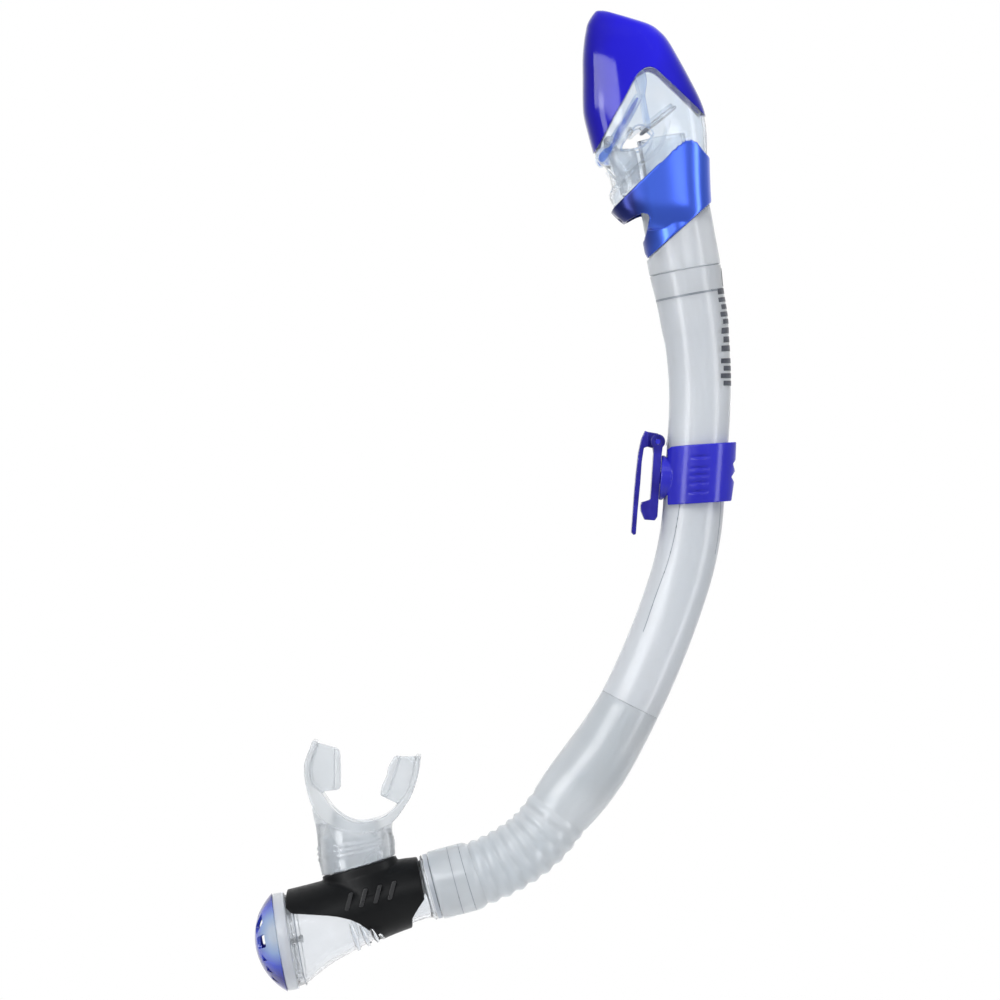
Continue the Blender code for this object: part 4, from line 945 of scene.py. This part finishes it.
# upper end and lower end in the plane of symmetry, half depth
HOUSING_START = ((-104.4, -170.68), (-97.2, -199.03), 15.0)
HOUSING_SECTIONS = [
    ((-105.3, -173.03), (-99.23, -198.22), 13.6), ((-114.08, -174.38), (-108.23, -200.93), 14.2),
    ((-126.23, -177.75), (-120.6, -206.1), 15.0), ((-139.72, -181.58), (-133.88, -213.3), 16.4),
    ((-150.97, -184.72), (-145.35, -220.05), 18.0),
]
COVER_SECTIONS = [
    ((-102.38, -170.23), (-94.28, -198.9), 15.5), ((-106.42, -171), (-99.67, -200.25), 15.6),
    ((-114.53, -172.12), (-108.23, -202.95), 16.1), ((-126.67, -175.5), (-120.6, -207.9), 16.9),
    ((-140.18, -179.33), (-133.88, -215.1), 18.3), ((-151.43, -182.47), (-145.12, -221.85), 19.9),
    ((-164.03, -185.62), (-155.93, -229.95), 22.3), ((-168.97, -186.53), (-160.88, -233.55), 23.0),
]
COVER_OUTLINE = [
    (-164.34, -189), (-163.58, -183.15), (-140.18, -176.18), (-114.53, -168.75), (-106.42, -168.75),
    (-105.08, -172.8), (-103.95, -178.2), (-101.92, -189), (-104.62, -193.05), (-107.33, -197.78),
    (-107.78, -206.1), (-121.28, -207.9), (-127.58, -202.5), (-131.18, -199.8), (-135.22, -198),
    (-140.18, -196.78), (-145.12, -196.2), (-153.68, -195.66), (-161.33, -195.3), (-163.94, -193.05),
]
COVER_COLLAR = [
    ((-128.03, -187.65), -16.0, 21.5, 16.6), ((-129.15, -183.15), -16.0, 19.0, 14.8),
    ((-130.28, -179.1), -16.0, 17.6, 12.9), ((-131.62, -175.05), -16.0, 17.2, 12.4),
]
# upper end, lower end, width of each louvre
LOUVRES = [
    ((-122.17, -204.3), (-119.92, -207.45), 1.5), ((-126, -202.05), (-122.62, -208.8), 2.0),
    ((-130.5, -200.7), (-126.67, -210.38), 2.3), ((-135, -199.8), (-131.18, -212.4), 2.4),
]


def smooth_rings(rings, per=5):
    """Extra rings between the given ones on a smooth curve."""
    stack = [np.array(ring).reshape(-1) for ring in rings]
    return [np.array(row).reshape(-1, 3) for row in curve_through(stack, per)]


def stem_bore(rx, ry):
    return tapered(((-131.53, -186.75), -10.0, rx, ry), ((-134.06, -159.75), -6.0, rx, ry))


def housing_rings(inset):
    neck = [spigot_ring(13.6 - inset, SPIGOT_START), spigot_ring(13.6 - inset, HOSE_END + 2.6)]
    body = [spigot_ring(15.0 - inset, HOSE_END + 2.7)]
    body += [between(*section, -inset) for section in [HOUSING_START] + HOUSING_SECTIONS]
    body += [end_ring(19.7 - min(inset, 1.4), -9.8), end_ring(20.9 - min(inset, 1.8), -5.6)]
    return neck + smooth_rings(body)


def make_housing():
    stem = tapered(((-131.85, -183.15), -10.0, 13.0, 8.6), ((-133.78, -162.45), -6.0, 13.0, 8.6))
    housing = joined(loft(housing_rings(0.0)), stem)
    inner = [spigot_ring(11.8, SPIGOT_START - 4.0)] + housing_rings(1.8)[1:] + [end_ring(19.6, -3.0)]
    housing = carved(housing, loft(inner), stem_bore(11.4, 7.0))
    piece("housing_body", housing, "lower", "clear_plastic", ["housing"], 35)


def make_louvres():
    """Clear ribs across the flare of the housing, below the edge of the cover."""
    for index, (top, bottom, width) in enumerate(LOUVRES):
        dx = bottom[0] - top[0]
        dz = bottom[1] - top[1]
        for end, side in SIDES.items():
            rings = []
            for k in range(17):
                t = k / 16.0
                y = side * (15.6 + 0.8 * index) * math.sqrt(max(0.02, 1.0 - (0.25 + 0.66 * t) ** 2.2))
                swell = math.sin(math.pi * (0.08 + 0.84 * t)) ** 0.5
                ring = []
                for c, s in circle(16):
                    u = width * 0.5 * swell * c
                    ring.append((top[0] + dx * t + u, y + side * 0.8 * swell * s, top[1] + dz * t + u * 0.35))
                rings.append(ring)
            piece(f"housing_louvre_{index}_{end}", loft(rings), "lower", "clear_thick", (), 60)


def make_cover():
    cover = loft(smooth_rings([between(*section) for section in COVER_SECTIONS]))
    cover = combined(cover, prism(COVER_OUTLINE, *THROUGH), "INTERSECT")
    cover = joined(cover, tapered(*COVER_COLLAR))
    rings = [between((-102.15, -172.12), (-94.73, -198.45), 13.6, 0.3)]
    rings += [between(*section, 0.3) for section in HOUSING_SECTIONS]
    rings += [end_ring(21.1, -9.5), end_ring(21.7, -5.6), end_ring(22.0, 2.0)]
    cover = carved(cover, loft(rings), stem_bore(13.4, 9.0))
    piece("grip_cover_body", melted(cover, 0.4, 6), "lower", "black_rubber", ["grip_cover"])


def make_grip_marks():
    """A row of plain raised grip bars on each side of the cover."""
    for end, side in SIDES.items():
        for index in range(4):
            x, z = -135.68 + 6.4 * index, -189.9 + 1.65 * index
            corners = [(x - 2.0, z - 4.2), (x - 0.1, z - 4.0), (x + 2.0, z + 4.2), (x + 0.1, z + 4.0)]
            reach = 17.8 - 0.40 * index
            mark = melted(side_prism(rounded(corners, 0.8, 4), side, reach - 2.0, reach + 0.6), 0.16, 2)
            piece(f"grip_bar_{index}_{end}", mark, "lower", "grip_black")


# ---------------------------------------------------------------- purge


def dome(radius, rise, base, steps):
    ball = (radius * radius + rise * rise) / (2.0 * rise)
    points = []
    for i in range(steps + 1):
        angle = math.asin(radius / ball) * (1.0 - i / steps)
        points.append((ball * math.sin(angle), base + ball * math.cos(angle) - (ball - rise)))
    return points


def make_purge_ring():
    profile = [(19.6, -0.15), (21.3, -0.1), (21.9, -0.35), (22.1, -0.8), (22.1, -4.6), (21.9, -5.1),
               (21.5, -5.3), (19.6, -5.3)]
    piece("purge_ring_body", turned(profile, PURGE_CENTRE, -90.0 - PURGE_LEAN, 128), "lower",
          "frosted_tube", ["purge_ring"], 40)


def place_on_purge(mesh):
    mesh.transform(Matrix.Translation((PURGE_CENTRE[0] * MM, 0.0, PURGE_CENTRE[1] * MM))
                   @ Matrix.Rotation(math.radians(-90.0 - PURGE_LEAN), 4, "Y"))
    return mesh


def upright(outline, low, high):
    """An (x, y) outline run up the purge axis."""
    return loft([[(x, y, low) for x, y in outline], [(x, y, high) for x, y in outline]])


SLOT = rounded([(-2.6, -3.7), (2.6, -3.7), (3.1, 3.7), (-3.1, 3.7)], 1.2, 4)
TOOTH = rounded([(-1.9, -1.7), (1.9, -1.7), (0.0, 2.3)], 0.35, 3)
# turn from the Y axis in degrees, distance from the middle, outline; each pair mirrors in the plane of symmetry
VENTS = [(-10.6, 12.9, SLOT), (-50.0, 12.9, SLOT), (-82.0, 14.5, TOOTH), (22.6, 13.6, TOOTH),
         (42.7, 15.8, TOOTH), (60.2, 18.0, TOOTH), (82.0, 14.5, TOOTH)]


def make_purge_cover():
    outer = dome(22.3, 10.9, 0.2, 26)
    inner = dome(20.4, 9.5, 0.2, 26)
    profile = ([(20.6, 0.05), (22.0, -0.05), (22.35, 0.1)] + outer + inner[::-1][:-3]
               + [(17.8, 0.9), (17.8, -2.5), (19.3, -2.5), (19.3, 0.0)])
    cover = turned(profile, (0.0, 0.0), 0.0, 128)
    for turn, reach, outline in VENTS:
        across, along = math.cos(math.radians(turn)), math.sin(math.radians(turn))
        for side in (-1, 1):
            block = [(x * across - (y + reach) * along, side * (x * along + (y + reach) * across))
                     for x, y in outline]
            cover = carved(cover, upright(block[::side], 2.0, 16.0))
    piece("purge_cover_dome", place_on_purge(cover), "lower", "cover_blue", ["purge_cover"], 35)


# ---------------------------------------------------------------- mouthpiece

NECK = [
    ((-131.72, -174.65), -16.0, 17.2, 12.4), ((-132.53, -169.65), -12.5, 17.5, 12.6),
    ((-132.62, -168.53), -12.0, 18.0, 13.1), ((-132.75, -167.62), -11.5, 17.3, 12.4),
    ((-132.89, -166.5), -10.5, 17.9, 13.0), ((-133.02, -165.6), -10.0, 17.2, 12.3),
    ((-133.16, -164.47), -9.0, 17.7, 12.8), ((-133.29, -163.35), -8.5, 17.1, 12.2),
    ((-133.65, -157.05), -5.0, 17.3, 11.8), ((-132.75, -152.1), -3.0, 19.4, 11.6),
    ((-132.3, -148.05), -2.0, 20.6, 11.4),
]
FLANGE_OUTER = [
    (-152.15, -117.99), (-155.56, -127.35), (-155.93, -131.85), (-155.25, -138.15), (-152.78, -146.7),
    (-148.28, -153.45), (-140.18, -157.95), (-132.08, -159.3), (-123.53, -158.4), (-115.88, -154.35),
    (-110.48, -147.15), (-107.78, -142.65), (-104.94, -134.1), (-103.64, -124.92),
]
FLANGE_INNER = [
    (-105.98, -124.92), (-107.33, -133.65), (-110.03, -141.75), (-114.53, -147.15), (-119.48, -151.65),
    (-125.33, -153.9), (-132.08, -154.62), (-137.93, -152.55), (-143.33, -148.05), (-147.83, -141.75),
    (-152.55, -137.7), (-153.45, -131.85), (-153, -127.8), (-149.81, -118.67),
]
MOUTH = [
    (-149.18, -142.65), (-144.22, -149.4), (-138.38, -153.9), (-132.08, -156.15), (-124.88, -155.47),
    (-118.58, -153), (-113.17, -148.05), (-104.17, -138.6), (-104.17, -113.85), (-158.18, -113.85),
    (-158.18, -136.35),
]
TAB_LEFT = [
    (-151.2, -119.25), (-141.53, -121.73), (-140.49, -123.3), (-140.09, -131.85), (-140.09, -139.68),
    (-142.88, -140.94), (-148.28, -141.39), (-153.22, -140.4), (-154.58, -134.1), (-154.35, -127.35),
]
TAB_RIGHT = [
    (-115.2, -125.64), (-104.99, -125.64), (-106.2, -134.1), (-109.12, -142.65), (-113.17, -147.38),
    (-121.77, -143.37), (-120.87, -138.73), (-118.66, -134.19), (-118.22, -130.91),
]
LUG_LEFT = [
    (-142.43, -121.23), (-140.09, -123.03), (-139.72, -131.85), (-139.72, -139.95), (-142.6, -141.3),
]
LUG_RIGHT = [
    (-115.6, -125.28), (-112.95, -125.19), (-116.33, -135), (-118.58, -142.65), (-122.17, -143.73),
    (-121.28, -138.6), (-119.03, -134.1), (-118.58, -130.72),
]


def make_mouthpiece():
    rings = smooth_rings([oval(*row) for row in NECK])
    body = carved(loft(rings), prism(MOUTH, *THROUGH))
    flange = curve_through(FLANGE_OUTER, 5) + curve_through(FLANGE_INNER, 5)
    body = joined(body, prism(flange, -12.5, 12.5), prism(TAB_LEFT, -2.0, 2.0), prism(TAB_RIGHT, -2.0, 2.0),
                  prism(rounded(LUG_LEFT, 1.5), -4.6, 4.6), prism(rounded(LUG_RIGHT, 1.5), -4.6, 4.6))
    bore = tapered(((-131.51, -186.75), -10.0, 13.35, 8.95), ((-133.92, -161.1), -6.0, 13.35, 8.95),
                   ((-134.01, -159.75), -5.0, 11.6, 7.4), ((-132.53, -145.35), -2.0, 11.2, 6.4))
    body = carved(body, bore)
    piece("mouthpiece_body", melted(body, 0.42, 8), "lower", "mouth_silicone",
          ["mouthpiece"])


# ---------------------------------------------------------------- small carried-over nodes

CARRIED = {
    "connector_o_ring": "clear_silicone", "hose_gasket": "grey_plastic", "valve_lever": "clear_blue",
    "valve_seal": "white_silicone", "lever_pin": "pin_steel", "float": "float_grey", "float_pin": "pin_steel",
    "gate_pin": "clip_blue", "purge_seat": "clear_plastic", "purge_membrane": "white_silicone",
}


def dress_carried():
    for name, paint in CARRIED.items():
        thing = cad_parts[name]
        thing.data.materials.clear()
        thing.data.materials.append(PAINT[paint])
        step = thing.modifiers.new("edge", "BEVEL")
        step.width = 0.00022
        step.segments = 2
        step.limit_method = "ANGLE"
        step.angle_limit = math.radians(40.0)


# ---------------------------------------------------------------- studio


FLOOR_CENTRE = -0.06
FLOOR_RADIUS = 0.62


def make_floor():
    """A pale round sheet that fades out towards its edge."""
    low = CAD_BOX[0][2] - FLOOR_DROP
    rings = [[(FLOOR_CENTRE + r * c, r * s, low) for c, s in circle(96)]
             for r in np.linspace(0.002, FLOOR_RADIUS, 40)]
    count = len(rings[0])
    faces = [(k + i, k + (i + 1) % count, k + count + (i + 1) % count, k + count + i)
             for k in range(0, count * (len(rings) - 1), count) for i in range(count)]
    faces.append(tuple(range(count)))
    mesh = bpy.data.meshes.new("studio_floor")
    mesh.from_pydata([point for ring in rings for point in ring], [], faces)
    paint = Paint("floor_paper", 0.9, {"Base_Color": (0.72, 0.72, 0.72, 1.0), "Emission_Strength": 0.48,
                                       "Emission_Color": (1.0, 1.0, 1.0, 1.0)})
    tree = paint.tree
    away = add_node(tree, "VectorMath", {0: paint.place, 1: (FLOOR_CENTRE, 0.0, low)}, operation="SUBTRACT")
    size = add_node(tree, "VectorMath", {0: away.outputs["Vector"]}, operation="LENGTH")
    reach = add_node(tree, "MapRange", {"From Min": 0.05, "From Max": FLOOR_RADIUS * 0.97, "To Min": 0.75,
                                        "To Max": 0.0, "Value": size.outputs["Value"]},
                     interpolation_type="SMOOTHSTEP")
    paint.link(reach.outputs["Result"], "Alpha")
    mesh.materials.append(paint.material)
    loose(mesh, "studio_floor")


def grey_ramp(tree, source, stops, smooth="B_SPLINE"):
    """A grey ramp over a direction component that runs from -1 to 1."""
    share = add_node(tree, "MapRange", {"From Min": -1.0, "From Max": 1.0, "Value": source}).outputs["Result"]
    return add_ramp(tree, share, [(position, (value,) * 3) for position, value in stops], smooth)


def make_world():
    """White behind the snorkel, dim in front of it, with soft upright bands to either side."""
    world = bpy.data.worlds.new("studio")
    bpy.context.scene.world = world
    world.use_nodes = True
    tree = world.node_tree
    tree.nodes.clear()
    place = add_node(tree, "TexCoord", {}).outputs["Generated"]
    split = add_node(tree, "SeparateXYZ", {"Vector": place}).outputs
    bands = grey_ramp(tree, split["X"], [(0.0, 0.55), (0.12, 0.75), (0.22, 1.0), (0.35, 0.72), (0.5, 0.85),
                                         (0.63, 0.70), (0.76, 1.0), (0.88, 0.68), (1.0, 0.5)])
    depth = grey_ramp(tree, split["Y"], [(0.0, 0.50), (0.30, 0.52), (0.5, 0.74), (0.7, 1.0), (1.0, 1.1)])
    behind = grey_ramp(tree, split["Y"], [(0.0, 0.0), (0.78, 0.0), (0.92, 1.0), (1.0, 1.0)], "LINEAR")
    product = add_node(tree, "VectorMath", {0: bands, 1: depth}, operation="MULTIPLY").outputs["Vector"]
    best = add_node(tree, "VectorMath", {0: product, 1: behind}, operation="MAXIMUM").outputs["Vector"]
    light = add_node(tree, "Background", {"Color": best, "Strength": 1.0}).outputs["Background"]
    white = add_node(tree, "Background", {"Color": (1.0, 1.0, 1.0, 1.0)}).outputs["Background"]
    seen = add_node(tree, "LightPath", {}).outputs["Is Camera Ray"]
    mix = add_node(tree, "MixShader", {"Fac": seen, 1: light, 2: white})
    add_node(tree, "OutputWorld", {"Surface": mix.outputs["Shader"]})


def soft_light(name, place, aim, width, height, power, **seen):
    """A rectangular lamp; visible_diffuse=False leaves it to reflections, visible_glossy=False to surfaces."""
    data = bpy.data.lights.new(name, "AREA")
    data.shape = "RECTANGLE"
    data.size = width
    data.size_y = height
    data.energy = power
    lamp = loose(data, name)
    lamp.location = place
    lamp.rotation_euler = (Vector(aim) - Vector(place)).to_track_quat("-Z", "Y").to_euler()
    for key, value in seen.items():
        setattr(lamp, key, value)


def make_studio():
    middle = (Vector(CAD_BOX[0]) + Vector(CAD_BOX[1])) / 2.0
    hood = Vector((-0.02, 0.0, 0.18))
    make_floor()
    make_world()
    soft_light("front_high", (-0.1, -1.0, 1.15), middle, 1.3, 0.7, 16.0, visible_glossy=False)
    for name, place, aim, width, height, power in (
            ("hood_panel", hood + Vector((-0.60, -0.80, 0.10)), hood, 1.10, 0.27, 6.5),
            ("collar_panel", (0.30, -0.95, 0.205), (0.02, 0.0, 0.14), 0.34, 0.17, 0.7),
            ("strip_right", (0.95, -0.55, -0.02), middle, 0.26, 1.2, 6.0),
            ("strip_left", (-0.80, -0.90, -0.16), middle, 0.30, 0.8, 5.0)):
        soft_light(name, place, aim, width, height, power, visible_diffuse=False)


def make_camera():
    """Straight from the side, with a long lens; the frame is 0.45 m wide where the snorkel is."""
    data = bpy.data.cameras.new("camera")
    camera = loose(data, "camera")
    distance = 2.6
    width = 0.45
    data.sensor_width = 36.0
    data.lens = data.sensor_width * distance / width
    data.clip_end = 20.0
    camera.location = (-0.068175, -distance, -0.01035)
    camera.rotation_euler = (math.radians(90.0), 0.0, 0.0)
    bpy.context.scene.camera = camera


def main():
    make_camera()
    make_studio()
    make_hood()
    make_chamber()
    make_collar()
    make_neck()
    make_tube()
    make_tube_marks()
    make_moulded_lines()
    make_keeper()
    make_plate()
    make_gate()
    make_hose()
    make_housing()
    make_louvres()
    make_cover()
    make_grip_marks()
    make_purge_ring()
    make_purge_cover()
    make_mouthpiece()
    dress_carried()
    bpy.context.scene.view_settings.view_transform = "Standard"


main()
